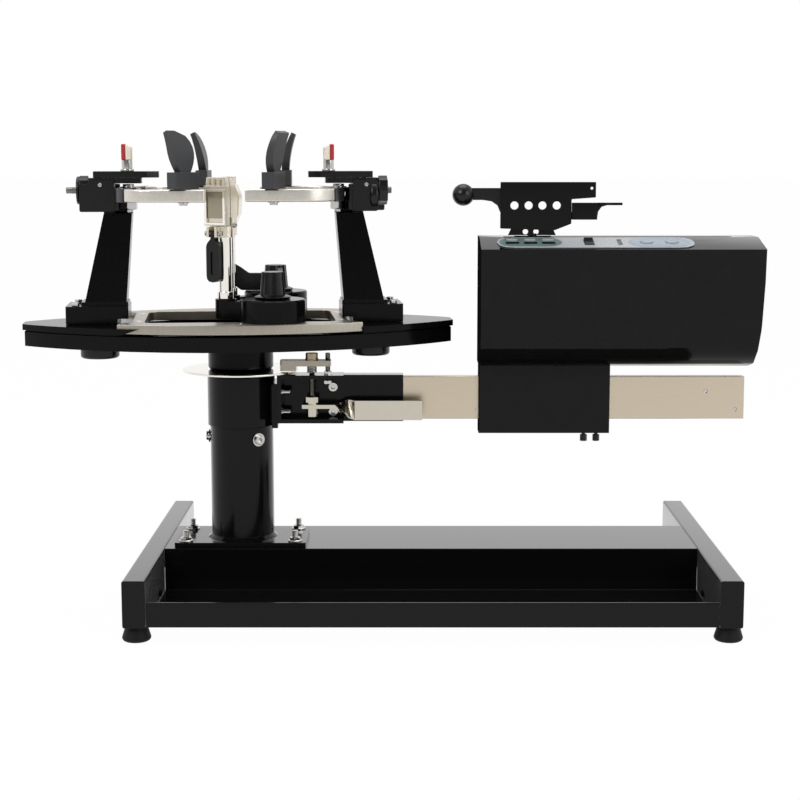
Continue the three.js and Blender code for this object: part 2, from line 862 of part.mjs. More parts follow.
piece("rail_bracket", railBracket(), blackPaint, machine);
piece("rail", rail(), brushedSteel, machine);

// Brake plate with its draw screw: the cap and spring sit above the plate, the screw hangs down to the lever
function brakePlate() {
  const bottom = bracketTop + brakePlateRise;
  const top = bottom + brakePlateThickness;
  const bar = slab(
    rectangle([brakePlateLeft, brakePlateRight], around(brakeLine, brakePlateDepth), brakePlateDepth / 4),
    [bottom, top],
  );
  const padBase = discBase + discThickness + brakeTravel + seatGap;
  const pad = block(
    [brakePlateLeft + seatGap, brakePlateLeft + brakePadLength],
    around(brakeLine, anvilDepth),
    [padBase, bottom + overrun],
  );
  const cap = rod(brakeCapRadius, [top - overrun, top + brakeCapHeight], roundSides).translate(
    brakeScrewPlace,
    brakeLine,
    0,
  );
  const screwFoot = bracketTop - leverHubDrop - leverHubHeight / 2;
  const screw = rod(brakeScrewRadius, [screwFoot, top]).translate(brakeScrewPlace, brakeLine, 0);
  const pinHole = rod(guidePinRadius + runGap, [bottom - overrun, top + overrun]).translate(
    guidePinPlace,
    brakeLine,
    0,
  );
  return cut(join(bar, pad, cap, screw), pinHole);
}

// Brake lever: a threaded hub and a flat strip that is twisted a quarter turn into an upright blade
function brakeLever() {
  const top = bracketTop - leverHubDrop;
  const hub = join(
    rod(leverHubRadius, [top - leverHubHeight, top - overrun]),
    hexagon(leverCollarRadius, [top - leverCollarHeight, top]),
  );
  const level = top - leverHubHeight + leverOffset;
  const turnSteps = 6;
  const stations = [[-leverHubRadius - leverStripThickness, 0, leverStripWidth, 0]];
  for (let i = 0; i <= turnSteps; i++) {
    const share = i / turnSteps;
    const width = leverStripWidth + (leverBladeWidth - leverStripWidth) * share;
    stations.push([leverStraightLength + leverTwistLength * share, (Math.PI / 2) * share, width, share]);
  }
  const bladeEnd = leverStraightLength + leverTwistLength + leverBladeLength;
  stations.push([bladeEnd, Math.PI / 2, leverBladeWidth, 1]);
  const corners = [[-1, -1], [1, -1], [1, 1], [-1, 1]];
  const sections = stations.map(([x, angle, width, share]) =>
    corners.map(([across, up]) => {
      const a = (across * width) / 2;
      const b = (up * leverStripThickness) / 2;
      const y = a * Math.cos(angle) - b * Math.sin(angle);
      const z = a * Math.sin(angle) + b * Math.cos(angle) - leverBladeDrop * share;
      return new THREE.Vector3(x, y, level + z);
    }),
  );
  const threadHole = rod(brakeScrewRadius + seatGap, [top - leverHubHeight / 2 - overrun, top + overrun]);
  return cut(join(hub, loft(sections)), threadHole).translate(brakeScrewPlace, brakeLine, 0);
}

piece("brake_plate", brakePlate(), brushedSteel, machine);
piece("brake_lever", brakeLever(), polishedSteel, machine);

// Turntable group: everything in it turns with the spindle
const turntableGroup = groupAt(machine, [0, 0, 0], turntableAngle);

// Half depth of the boat shape at a distance along its length
const sideAt = (x) => turntableHalfDepth * Math.pow(1 - (x / turntableReach) ** 2, turntableFullness);

function boatOutline(halfLength, grow) {
  const front = [];
  for (let i = 0; i <= turntableSteps; i++) {
    const x = -halfLength * Math.cos((Math.PI * i) / turntableSteps);
    front.push([x * (1 + grow / halfLength), -sideAt(x) - grow]);
  }
  const back = front.map(([x, y]) => [x, -y]).reverse();
  return new THREE.Shape([...front, ...back].map(([x, y]) => new THREE.Vector2(x, y)));
}

function ringOutline(grow) {
  const steps = Math.round(turntableSteps / 2);
  const front = [];
  for (let i = 0; i <= steps; i++) {
    const x = -ringHalfLength + (2 * ringHalfLength * i) / steps;
    front.push([x * (1 + grow / ringHalfLength), -sideAt(x) + ringEdgeInset - grow]);
  }
  const waist = ringWaist + grow;
  const edge = [[waist, -ringWaistDepth], [waist, ringWaistDepth]];
  const back = front.map(([x, y]) => [x, -y]).reverse();
  const points = [...front, ...edge, ...back, ...edge.map(([x, y]) => [-x, -y])];
  return new THREE.Shape(points.map(([x, y]) => new THREE.Vector2(x, y)));
}

function turntablePlate() {
  const body = slab(boatOutline(turntableHalfLength, 0), [turntableBase, stepLevel]);
  const neck = slab(boatOutline(turntableHalfLength, -turntableGrooveDepth), [
    stepLevel - overrun,
    stepLevel + turntableGroove,
  ]);
  const lipHeights = [stepLevel + turntableGroove, lipLevel];
  const lip = slab(boatOutline(turntableHalfLength, turntableLipOverhang), lipHeights);
  const ringSeat = slab(ringOutline(seatGap), [stepLevel, lipLevel + overrun]);
  const upper = [stepLevel, lipLevel + overrun];
  const above = [stepLevel - overrun, lipLevel + 2 * overrun];
  const outside = cut(
    block(around(0, 2 * ringHalfLength), around(0, 4 * turntableHalfDepth), upper),
    slab(ringOutline(0), above),
    block(around(0, 2 * ringHalfLength + overrun), around(0, 2 * ringWaistDepth), above),
  );
  const pocket = slab(
    rectangle(
      around(0, 2 * ringOpeningHalfLength - pocketMargin),
      around(0, 2 * (ringOpeningHalfDepth + pocketMargin)),
      ringOpeningCorner,
    ),
    [stepLevel - pocketDepth, stepLevel + overrun],
  );
  const slots = [
    [towerPlaceRight, 1],
    [towerPlaceLeft, -1],
  ].map(([place, side]) => {
    const half = lockBoltRadius + runGap;
    const ends = [place - half, place + towerTravel + half].map((x) => x * side);
    const span = [Math.min(...ends), Math.max(...ends)];
    return slab(rectangle(span, around(0, 2 * half), half - mergeTolerance), [
      turntableBase - overrun,
      lipLevel + overrun,
    ]);
  });
  const pads = ringPadPlaces.map(([x, y]) =>
    rod(ringPadRadius, [stepLevel - overrun, ringBase - seatGap], pinSides).translate(x, y, 0),
  );
  return join(cut(join(body, neck, lip), ringSeat, outside, pocket, ...slots), ...pads);
}

function glideRing() {
  const outline = ringOutline(-seatGap);
  const opening = rectangle(
    around(0, 2 * ringOpeningHalfLength),
    around(0, 2 * ringOpeningHalfDepth),
    ringOpeningCorner,
  );
  outline.holes.push(opening);
  return slab(outline, [ringBase, ringTop]);
}

function hub() {
  return turned([
    [0, headTop - spindleDepth],
    [spindleRadius, headTop - spindleDepth],
    [spindleRadius, hubBase],
    [hubRadius - headEdge, hubBase],
    [hubRadius, hubBase + headEdge],
    [hubRadius, hubTop],
    [0, hubTop],
  ]);
}

function brakeDisc() {
  const disc = rod(discRadius, [discBase, discBase + discThickness], 2 * roundSides);
  const boreHeights = [discBase - overrun, discBase + discThickness + overrun];
  const bore = rod(spindleRadius + seatGap, boreHeights, roundSides);
  return cut(disc, bore);
}

piece("turntable", turntablePlate(), blackPaint, turntableGroup);
piece("glide_ring", glideRing(), castAluminium, turntableGroup);
piece("hub", hub(), blackPaint, turntableGroup);
piece("brake_disc", brakeDisc(), polishedSteel, turntableGroup);

// Racket tower: a footed, tapered casting
function tower() {
  const base = slab(rectangle(around(0, towerFootLength), around(0, towerFootDepth), towerFootEdge), [
    0,
    towerFootHeight,
  ]);
  const plinthTop = towerFootHeight + towerPlinth;
  const plinth = slab(
    rectangle(
      [postBottomInner - towerPlinth / 2, postBottomOuter + towerPlinth],
      around(0, postBottomDepth + towerPlinth),
      towerFootEdge,
    ),
    [towerFootHeight - overrun, plinthTop],
  );
  const post = loft([
    section([postBottomInner, postBottomOuter], around(0, postBottomDepth), plinthTop - overrun),
    section([postTopInner, postTopOuter], around(0, postTopDepth), postTopHeight),
  ]);
  const boltHole = rod(lockBoltRadius + seatGap, [-overrun, lockBoltLength - lockGrip]);
  const inner = -towerFootLength / 2;
  const rebate = block(
    [inner - overrun, inner + towerRebateLength],
    around(0, towerFootDepth + 2 * overrun),
    [-overrun, towerRebateHeight],
  );
  return cut(join(base, plinth, post), boltHole, rebate);
}

function lockKnob() {
  const grip = turned([
    [0, -lockHeight],
    [lockRadius - lockEdge, -lockHeight],
    [lockRadius, lockEdge - lockHeight],
    [lockRadius, 0],
    [0, 0],
  ]);
  const top = towerBase - turntableBase + lockBoltLength - lockGrip;
  return join(grip, rod(lockBoltRadius, [-lockGrip, top - overrun]));
}

// Tower head: the screw housing with its side box, and the guide plate over the arm
function towerHead() {
  const body = wall(
    rectangle([housingInner, housingOuter], [housingBottom, housingTop], housingEdge),
    around(0, housingDepth),
  );
  const box = wall(
    rectangle(
      [housingInner + housingEdge, housingBoxOuter],
      [housingBottom, housingTop - housingEdge],
      housingEdge / 2,
    ),
    [housingDepth / 2 - housingBoxDepth, housingDepth / 2],
  );
  const guide = slab(
    rectangle([housingInner - guideLength, housingOuter], around(0, supportBarWidth), housingEdge),
    [guideTop - guideThickness, guideTop],
  );
  const footBase = postTopHeight + seatGap;
  const foot = block(
    [housingInner, postTopOuter],
    around(0, housingFootDepth),
    [footBase, footBase + guideThickness],
  );
  const clearance = screwRadius + runGap;
  const bore = rodAlongX(clearance, [housingOuter - screwLength, housingBoxOuter + overrun]).translate(
    0,
    screwOffset,
    screwHeight,
  );
  return cut(join(body, box, guide, foot), bore);
}

// Star knob on the adjusting screw
function starKnob(tip) {
  const start = housingOuter + seatGap;
  const ring = loft([
    flutedRing(starKnobRadius, starFluteDepthShare, starFlutes, start, starSteps),
    flutedRing(starKnobRadius, starFluteDepthShare, starFlutes, start + starKnobThickness, starSteps),
  ]);
  const end = start + starKnobThickness;
  const screw = rod(screwRadius, [start - screwLength + seatGap + overrun, end + tip]);
  return join(ring, screw).rotateY(Math.PI / 2).translate(0, screwOffset, screwHeight);
}

// Arm: a bar bent to a C in plan, held at its middle by a bolt, with an end to the front and one to the rear
function supportArm() {
  const half = armWidth / 2;
  const path = [
    [-armReach, -armHalfSpread],
    [-armCorner, -armHalfSpread],
    [0, -armCorner - half],
  ];
  const curve = new THREE.CurvePath();
  const vectors = path.map(([x, y]) => new THREE.Vector2(x, y));
  const corner = new THREE.Vector2(-half / 2, -armHalfSpread);
  curve.add(new THREE.LineCurve(vectors[0], vectors[1]));
  curve.add(new THREE.QuadraticBezierCurve(vectors[1], corner, vectors[2]));
  const middle = new THREE.Vector2(0, 0);
  curve.add(new THREE.LineCurve(vectors[2], middle));
  const spine = [vectors[0], ...curve.curves[1].getPoints(2 * cornerSteps), middle];
  const left = [];
  const right = [];
  spine.forEach((p, i) => {
    const before = spine[Math.max(i - 1, 0)];
    const after = spine[Math.min(i + 1, spine.length - 1)];
    const along = after.clone().sub(before).normalize();
    left.push([p.x - along.y * half, p.y + along.x * half]);
    right.push([p.x + along.y * half, p.y - along.x * half]);
  });
  const front = [...left, ...right.reverse()];
  const toShape = (points) => new THREE.Shape(points.map(([x, y]) => new THREE.Vector2(x, y)));
  const frontHalf = slab(toShape(front), [0, armHeight]);
  const rearHalf = slab(toShape(front.map(([x, y]) => [x, -y])), [0, armHeight]);
  const boss = rod(armHubRadius, [0, armHeight], roundSides);
  const nut = hexagon(armHubNutRadius, [-armRise + seatGap, overrun]);
  return join(frontHalf, rearHalf, boss, nut);
}

// Shoulder hook: a block that swivels on the arm, with a fan-shaped blade that leans out and curls at its tip
function shoulderHook(tipCut) {
  const base = slab(
    rectangle(around(0, hookBlockLength), around(0, hookBlockDepth), hookBlockEdge),
    [seatGap, seatGap + hookBlockHeight],
  );
  const half = hookBladeWidth / 2;
  const neck = hookNeckWidth / 2;
  const corners = [[-1, -1], [1, -1], [1, 1], [-1, 1]];
  const sections = Array.from({ length: hookSteps + 1 }, (_, i) => {
    const share = i / hookSteps;
    const lean = -hookBladeLean * share ** 2;
    const slope = (-2 * hookBladeLean * share) / hookBladeHeight;
    const z = hookBlockHeight - overrun + (hookBladeHeight + overrun) * share;
    const flare = Math.sin((Math.PI / 2) * Math.min(share / hookFlareShare, 1));
    const near = neck + (half - neck) * flare;
    const past = Math.max(share - hookFlareShare, 0) / (1 - hookFlareShare);
    const far = near - tipCut * (1 - Math.sqrt(1 - past ** 2));
    const halfThickness = (hookBladeThickness / 2) * (1 - hookBladeThinShare * share ** 2);
    const normal = new THREE.Vector2(1, slope).normalize();
    return corners.map(([a, b]) => {
      const out = a * halfThickness;
      return new THREE.Vector3(lean + out * normal.x, b < 0 ? -near : far, z - out * normal.y);
    });
  });
  return join(base, loft(sections));
}

// Pole support: a sliding bar with a stem, and a lipped pad that the racket's tip or throat rests against
function poleSupport(stemPlace) {
  const taper = supportBarTaper;
  const half = supportBarWidth / 2;
  const bar = slab(
    rounded(
      [
        [supportInner, -taper],
        [supportInner + 2 * taper, -half],
        [supportOuter, -half],
        [supportOuter, half],
        [supportInner + 2 * taper, half],
        [supportInner, taper],
      ],
      supportCorner,
    ),
    [0, supportBarHeight],
  );
  const stemTop = supportBarHeight + supportStemHeight;
  const stemHeights = [supportBarHeight - overrun, stemTop + overrun];
  const stem = rod(supportStemRadius, stemHeights).translate(stemPlace, 0, 0);
  const profile = rounded(
    [
      [stemPlace + padThickness / 2, stemTop],
      [stemPlace + padThickness / 2, stemTop + padHeight],
      [stemPlace + padThickness / 2 - padLipThickness, stemTop + padHeight],
      [stemPlace - padThickness / 2, stemTop + padLipHeight],
      [stemPlace - padThickness / 2, stemTop],
    ],
    supportCorner,
  );
  const pad = wall(profile, around(0, padWidth));
  return join(bar, stem, pad);
}

const hookNames = [["hook_front_left", "hook_rear_left"], ["hook_front_right", "hook_rear_right"]];
[
  {
    side: "left",
    place: towerPlaceLeft,
    tip: screwTipLeft,
    stem: supportStemPlaceLeft,
    hooks: hookLeftPlace,
    armTurn: armTurnLeft,
    names: hookNames[0],
    turns: hookTurns.slice(0, 2),
  },
  {
    side: "right",
    place: towerPlaceRight,
    tip: screwTipRight,
    stem: supportStemPlaceRight,
    hooks: hookRightPlace,
    armTurn: armTurnRight,
    names: hookNames[1],
    turns: hookTurns.slice(2),
  },
].forEach(({ side, place, tip, stem, hooks, armTurn, names, turns }) => {
  const half = groupAt(turntableGroup, [0, 0, 0], side === "left" ? 180 : 0);
  const towerGroup = groupAt(half, [place, 0, towerBase]);
  piece("tower_" + side, tower(), blackPaint, towerGroup);
  piece("tower_lock_" + side, lockKnob(), blackPlastic, groupAt(half, [place, 0, hubTop]));
  piece("tower_head_" + side, towerHead(), blackPlastic, towerGroup);
  piece("pole_knob_" + side, starKnob(tip), blackPlastic, towerGroup);
  const support = groupAt(towerGroup, [0, 0, guideTop + seatGap]);
  piece("pole_support_" + side, poleSupport(stem), whitePad, support);
  const arm = groupAt(towerGroup, [armPivot, 0, postTopHeight + armRise], armTurn);
  piece("arm_" + side, supportArm(), castAluminium, arm);
  names.forEach((name, i) => {
    const nearFront = (side === "right") === (i === 0) ? -1 : 1;
    const hook = groupAt(arm, [-hooks, nearFront * armHalfSpread, armHeight], turns[i]);
    piece(name, shoulderHook(hookCuts[side]), darkNylon, hook);
  });
});

// String clamps
function clampShoe() {
  const neckTop = ringThickness + seatGap + baseHeight / 3;
  return join(
    rod(shoeRadius, [-seatGap - shoeHeight, -seatGap], roundSides),
    rod(shoeNeckRadius, [-seatGap - overrun, neckTop]),
  );
}

function clampBase() {
  const disc = turned([
    [0, 0],
    [baseRadius, 0],
    [baseRadius, baseHeight - baseEdge],
    [baseRadius - baseEdge, baseHeight],
    [0, baseHeight],
  ]);
  const arm = slab(rectangle([0, baseArmLength], around(0, baseArmWidth), baseEdge), [0, baseArmHeight]);
  const lug = rod(lugRadius, [0, lugHeight], roundSides).translate(baseArmLength, 0, 0);
  const neckHole = rod(baseBoreRadius, [-overrun, baseHeight + overrun]);
  const postHole = rod(clampPostRadius + seatGap, [clampPostInset / 2, lugHeight + overrun]).translate(
    baseArmLength,
    0,
    0,
  );
  return cut(join(disc, arm, lug), neckHole, postHole);
}

// Tapered, fluted knob with its lever wing
function baseKnob() {
  const grip = loft([
    flutedRing(topKnobNeckRadius, topKnobFluteDepthShare, topKnobFlutes, topKnobFlange / 2),
    flutedRing(topKnobTopRadius, topKnobFluteDepthShare, topKnobFlutes, topKnobHeight),
  ]);
  const flange = turned([
    [0, 0],
    [topKnobRadius - baseEdge, 0],
    [topKnobRadius, topKnobFlange / 2],
    [topKnobNeckRadius, topKnobFlange],
    [0, topKnobFlange],
  ]);
  const wingOutline = rounded(
    [
      [0, 0],
      [wingLength - wingLowHeight / 2, 0],
      [wingLength, wingNose],
      [wingLength - wingThickness / 2, wingHeight],
      [wingLength - wingLowHeight / 2, wingHeight * wingCrestShare],
      [wingLength * wingWaistShare, wingLowHeight],
      [0, wingLowHeight],
    ],
    wingThickness / 3,
  );
  const wing = wall(wingOutline, around(0, wingThickness));
  const stud = rod(shoeNeckRadius, [-baseHeight / 2, overrun]);
  return join(grip, flange, wing, stud);
}

function clampPost() {
  const bottom = clampPostInset;
  const post = rod(clampPostRadius, [bottom, clampPostTop]);
  const collar = rod(clampPostRadius + overrun, [lugHeight + seatGap, lugHeight + clampPostInset]);
  return join(post, collar);
}

// Teeth along the top of a jaw
function toothedTop(depthSpan, top) {
  const pitch = (clampInner - clampOuter) / clampTeeth;
  return Array.from({ length: clampTeeth }, (_, i) => {
    const middle = clampOuter + pitch * (i + 0.5);
    const foot = pitch * toothFootShare;
    const tip = pitch * toothTipShare;
    const tooth = rounded(
      [
        [middle - foot, top - overrun],
        [middle + foot, top - overrun],
        [middle + tip, top + clampToothHeight],
        [middle - tip, top + clampToothHeight],
      ],
      0,
    );
    return wall(tooth, depthSpan);
  });
}

// Fixed half: a jaw with a curved back, the socket on the post and the ears of the handle
function clampBody() {
  const face = -clampJawGap / 2;
  const profile = new THREE.Shape();
  profile.moveTo(face, clampHeadBottom);
  profile.lineTo(face, clampHeadTop);
  profile.lineTo(clampBackDepth * clampCrownShare, clampHeadTop);
  const bulge = clampBackDepth * clampBulge;
  const [highShare, lowShare] = clampBulgeShares;
  const heel = clampPostRadius * clampHeelShare;
  const high = clampHeadTop * highShare;
  const low = clampHeadTop * lowShare;
  profile.bezierCurveTo(bulge, high, bulge, low, heel, clampHeadBottom);
  profile.closePath();
  const jaw = rib(profile, [clampOuter, clampInner]);
  const socketBase = clampHeadBottom - clampSocketDrop;
  const socket = rod(clampSocketRadius, [socketBase, clampHeadBottom + clampSocketRise], roundSides);
  const earSpan = [-handleDepth - handleEarNose, 0];
  const ears = [-1, 1].map((side) => {
    const x = handlePlace + side * (handleWidth / 2 - handleEarThickness);
    const heights = [handleTop - handleEarDrop, clampHeadBottom + clampLinkRise];
    return block(around(x, handleEarThickness), earSpan, heights);
  });
  const link = block(
    [handlePlace - handleWidth / 2 + handleEarThickness / 2, clampInner],
    [clampLinkFront, clampPostRadius],
    [socketBase, clampHeadBottom + clampLinkRise],
  );
  const bore = rod(clampPostRadius + seatGap, [socketBase - overrun, clampPostTop + seatGap]);
  const front = block(
    [clampOuter - overrun, clampInner + overrun],
    [-clampBackDepth, face],
    [clampHeadBottom + clampLinkRise + seatGap, clampHeadTop + overrun],
  );
  const teeth = toothedTop([face, clampBackDepth * clampCrownShare - overrun], clampHeadTop);
  return cut(join(cut(join(jaw, socket, link), front), ...ears, ...teeth), bore);
}

// Moving half: a plate with a framed recess in its front
function clampJaw() {
  const back = -1.5 * clampJawGap;
  const span = [back - clampJawDepth, back];
  const bottom = clampHeadBottom + clampFootRise;
  const plate = block([clampOuter, clampInner], span, [bottom, clampHeadTop]);
  const border = clampFaceBorder;
  const recess = block(
    [clampOuter + border, clampInner - border],
    [span[0] - overrun, span[0] + clampFaceDepth],
    [bottom + border, clampHeadTop - 2 * border],
  );
  return cut(join(plate, ...toothedTop([span[0] + clampFaceDepth, span[1]], clampHeadTop)), recess);
}

// Handle: a loop that hangs from its pin and closes the jaw when it is swung up
function clampHandle() {
  const half = handleWidth / 2;
  const eye = half - 2 * handleEarThickness;
  const top = handleTop + handleEyeRise;
  const shoulder = handleTop - handleShoulderDrop;
  const loopTop = handleTop - handleLoopDrop;
  const end = handleTop - handleLength;
  const endCorner = half * handleEndShare;
  const outline = rounded(
    [
      [handlePlace - half, loopTop, handleLoopCorner],
      [handlePlace - eye, shoulder, 0],
      [handlePlace - eye, top, 0],
      [handlePlace + eye, top, 0],
      [handlePlace + eye, shoulder, 0],
      [handlePlace + half, loopTop, handleLoopCorner],
      [handlePlace + half, end, endCorner],
      [handlePlace - half, end, endCorner],
    ],
    handleLoopCorner,
  );
  const slotBase = end + handleSlotRise;
  const slot = rectangle(
    around(handlePlace, handleSlotWidth),
    [slotBase, slotBase + handleSlotLength],
    handleSlotWidth / 2 - mergeTolerance,
  );
  outline.holes.push(slot);
  return wall(outline, around(-handleDepth, handleThickness));
}

clampBases.forEach(({ name, place: [x, y], arm, knob, turn }) => {
  piece("clamp_shoe_" + name, clampShoe(), brushedSteel, groupAt(turntableGroup, [x, y, ringBase]));
  const level = ringTop + seatGap;
  const base = groupAt(turntableGroup, [x, y, level], arm);
  piece("clamp_base_" + name, clampBase(), blackPaint, base);
  const onTop = groupAt(turntableGroup, [x, y, level + baseHeight + seatGap], knob);
  piece("base_knob_" + name, baseKnob(), blackPlastic, onTop);
  const post = groupAt(base, [baseArmLength, 0, 0], turn - arm - turntableAngle);
  piece("clamp_post_" + name, clampPost(), polishedSteel, post);
  piece("clamp_body_" + name, clampBody(), castAluminium, post);
  piece("clamp_jaw_" + name, clampJaw(), castAluminium, post);
  piece("clamp_handle_" + name, clampHandle(), blackPlastic, post);
});

// Tension head: everything here slides along the rail with the cover
const tensionHead = groupAt(machine, [0, 0, railBottom]);

function coverProfile(inset) {
  const profile = new THREE.Shape();
  const front = -coverFront + inset;
  const low = coverBottom + inset;
  const bend = coverUnderRadius - inset;
  profile.moveTo(-skirtFront + inset, low);
  const pull = bend * coverBendShare;
  profile.bezierCurveTo(front + pull, low, front, low + pull, front, low + bend);
  profile.lineTo(front, coverFrontTop - inset);
  profile.lineTo(-coverRidge, coverTop - inset);
  profile.lineTo(coverBack - inset, coverTop - inset);
  profile.lineTo(coverBack - inset, low);
  profile.closePath();
  return profile;
}

function coverFace(inset) {
  const right = coverRight - inset;
  const face = new THREE.Shape();
  face.moveTo(coverLeft + inset, coverBottom - overrun);
  face.lineTo(right - coverEndBow - coverEdge, coverBottom + inset);
  const bowed = right - coverEndBow;
  face.quadraticCurveTo(bowed, coverBottom + inset, bowed, coverBottom + inset + coverEdge);
  face.quadraticCurveTo(right, (coverBottom + coverTop) / 2, right, coverTop + overrun);
  face.lineTo(coverLeft + inset, coverTop + overrun);
  face.closePath();
  return face;
}

function headCover() {
  const depth = [-coverFront - overrun, coverBack + overrun];
  const common = (a, b) => shapeOf(solid(a).intersect(solid(b)));
  const bulge = common(
    rib(coverProfile(0), [coverLeft, coverRight + overrun]),
    wall(coverFace(0), depth),
  );
  const skirt = slab(
    rectangle([coverLeft, skirtRight], [-skirtFront, skirtFront], coverEdge / 2),
    [skirtBottom, coverBottom + coverUnderRadius],
  );
  const hollow = common(
    rib(coverProfile(coverWall), [coverLeft + coverWall, coverRight]),
    wall(coverFace(coverWall), depth),
  );
  const railWay = block(
    [coverLeft - overrun, skirtRight + overrun],
    around(0, railThickness + 2 * seatGap),
    [-seatGap, railHeight + seatGap],
  );
  const slot = slab(
    rectangle([slotStart, slotEnd], around(slotLine, 2 * slotHalfWidth), slotHalfWidth - mergeTolerance),
    [coverTop - 2 * coverWall, coverTop + overrun],
  );
  const thumbHoles = thumbPlaces.map((x) =>
    rod(thumbShankRadius + seatGap, [skirtBottom - overrun, overrun]).translate(x, 0, 0),
  );
  const inlet = cut(
    wall(
      rectangle(around(inletPlace, inletWidth), around(inletLevel, inletHeight), coverWall),
      [coverBack - inletDepth, coverBack + overrun],
    ),
    block(
      around(inletPlace, inletTongueHeight),
      [coverBack - inletDepth - overrun, coverBack - coverWall],
      around(inletLevel, inletTongueHeight / 2),
    ),
  );
  const inletBox = wall(
    rectangle(
      around(inletPlace, inletWidth + 2 * coverWall),
      around(inletLevel, inletHeight + 2 * coverWall),
      coverWall,
    ),
    [coverBack - inletDepth - coverWall, coverBack - coverWall / 2],
  );
  const pockets = panelPockets();
  return cut(join(cut(join(bulge, skirt), hollow), inletBox), railWay, slot, ...thumbHoles, inlet, ...pockets);
}

// The sloped control panel's own frame: X along the head, Y up the slope
const panelAngle = Math.atan2(coverTop - coverFrontTop, coverFront - coverRidge);
const panelMiddle = [0, -(coverFront + coverRidge) / 2, (coverTop + coverFrontTop) / 2];
const onPanel = (shape) => shape.rotateX(panelAngle).translate(...panelMiddle);

function panelPockets() {
  const down = -2 * coverWall;
  const keyHoles = keys.map(([, place]) =>
    rod(keyRadius + runGap, [down, overrun], roundSides).translate(place, 0, 0),
  );
  const switchHole = block(
    around(switchPlace, switchLength + 2 * runGap),
    around(0, switchDepth + 2 * runGap),
    [down, overrun],
  );
  return [...keyHoles, switchHole].map(onPanel);
}

const panelGroup = new THREE.Group();
panelGroup.position.set(...panelMiddle);
panelGroup.rotation.x = panelAngle;
tensionHead.add(panelGroup);

function controlPanel() {
  const half = membraneDepth / 2;
  const outline = rectangle([membraneLeft, membraneRight], [-half, half], half - mergeTolerance);
  keys.forEach(([, place]) => outline.holes.push(circle(keyRadius + runGap, [place, 0], roundSides)));
  outline.holes.push(
    rectangle(around(switchPlace, switchLength + 2 * runGap), around(0, switchDepth + 2 * runGap), 0),
  );
  return slab(outline, [seatGap, seatGap + membraneThickness]);
}

function key() {
  const top = seatGap + membraneThickness + keyProud;
  return turned([
    [0, top - keyHeight],
    [keyRadius, top - keyHeight],
    [keyRadius, top - keyEdge],
    [keyRadius - keyEdge, top],
    [0, top],
  ]);
}

function rocker() {
  const half = switchDepth / 2;
  const top = seatGap + membraneThickness + keyProud;
  const floor = top - switchHeight / 2;
  const profile = rounded(
    [
      [-half, floor],
      [half, floor],
      [half, top + rockerSlope],
      [0, top - rockerSlope],
      [-half, top - rockerSlope],
    ],
    rockerCorner,
  );
  return rib(profile, around(switchPlace, switchLength));
}

piece("head_cover", headCover(), blackGloss, tensionHead);
piece("control_panel", controlPanel(), membraneGrey, panelGroup);
keys.forEach(([name, place]) => piece(name, key().translate(place, 0, 0), membraneGrey, panelGroup));
piece("power_switch", rocker(), blackPlastic, panelGroup);

// Carriage: slides in the cover's slot and carries the gripper
function carriage() {
  const span = [carriageStart, carriageStart + carriageLength];
  const inside = coverTop - coverWall - seatGap;
  const body = block(span, around(slotLine, carriageDepth), [inside - carriageHeight, inside]);
  const neckSpan = [span[0] + slotHalfWidth, span[1] - slotHalfWidth];
  const flangeBase = coverTop + seatGap;
  const neck = block(
    neckSpan,
    around(slotLine, 2 * (slotHalfWidth - runGap)),
    [inside - overrun, flangeBase + carriageFlange],
  );
  const flange = block(
    neckSpan,
    around(slotLine, 2 * (slotHalfWidth + carriageFlangeMargin)),
    [flangeBase, flangeBase + carriageFlange],
  );
  const boreHeights = [inside - carriageHeight - overrun, coverTop + 2 * overrun];
  const bore = rod(swivelRadius + seatGap, boreHeights).translate(
    swivelPlace,
    slotLine,
    0,
  );
  return cut(join(body, neck, flange), bore);
}

// Gripper body: the front plate with its horn and row of holes, the floor, the legs and the swivel pin
const plateSpan = [slotLine - plateFront, slotLine - plateFront + plateThickness];
function gripperBody() {
  const outline = rounded(
    [
      [plateLeft, plateBottom],
      [plateFootRight, plateBottom - overrun],
      [plateShoulder, plateBottom + plateChamfer],
      [plateShoulder, plateHornBottom - overrun],
      [plateRight, plateHornBottom],
      [plateRight, plateTop],
      [plateLeft, plateTop],
    ],
    plateCorner,
  );
  plateHolePlaces.forEach((x) => outline.holes.push(circle(plateHoleRadius, [x, plateHoleLevel])));
  outline.holes.push(circle(plateEyeRadius, [plateRight - plateEyeInset, plateTop - 1.5 * plateEyeInset]));
  const plate = wall(outline, plateSpan);
  const floorSpan = [plateLeft + plateChamfer, plateFootRight];
  const floorTop = plateBottom + plateFloorThickness;
  const floorDepths = [plateSpan[0], plateSpan[0] + plateFloorDepth];
  const floor = block(floorSpan, floorDepths, [plateBottom - seatGap, floorTop]);
  const backSpan = [plateSpan[0] + plateFloorDepth - plateThickness / 2, plateSpan[0] + plateFloorDepth];
  const back = block(floorSpan, backSpan, [plateBottom, jawBarTop]);
  const legsBase = coverTop + 2 * seatGap + carriageFlange;
  const legsHeight = plateBottom - legsBase;
  const legs = new THREE.Shape(
    [
      [legsTopLeft - legsSplay, legsBase],
      [legsTopRight + legsSplay, legsBase],
      [legsTopRight, plateBottom + overrun / 2],
      [legsTopLeft, plateBottom + overrun / 2],
    ].map(([x, z]) => new THREE.Vector2(x, z)),
  );
  legsHolePlaceShares.forEach((share) => {
    const x = legsTopLeft + (legsTopRight - legsTopLeft) * share;
    legs.holes.push(circle(legsHoleRadius, [x, legsBase + legsHeight / 2]));
  });
  const foot = wall(legs, around(slotLine, legsThickness));
  const pin = rod(swivelRadius, [coverTop - coverWall - carriageHeight, legsBase + overrun]).translate(
    swivelPlace,
    slotLine,
    0,
  );
  return join(plate, floor, back, foot, pin);
}

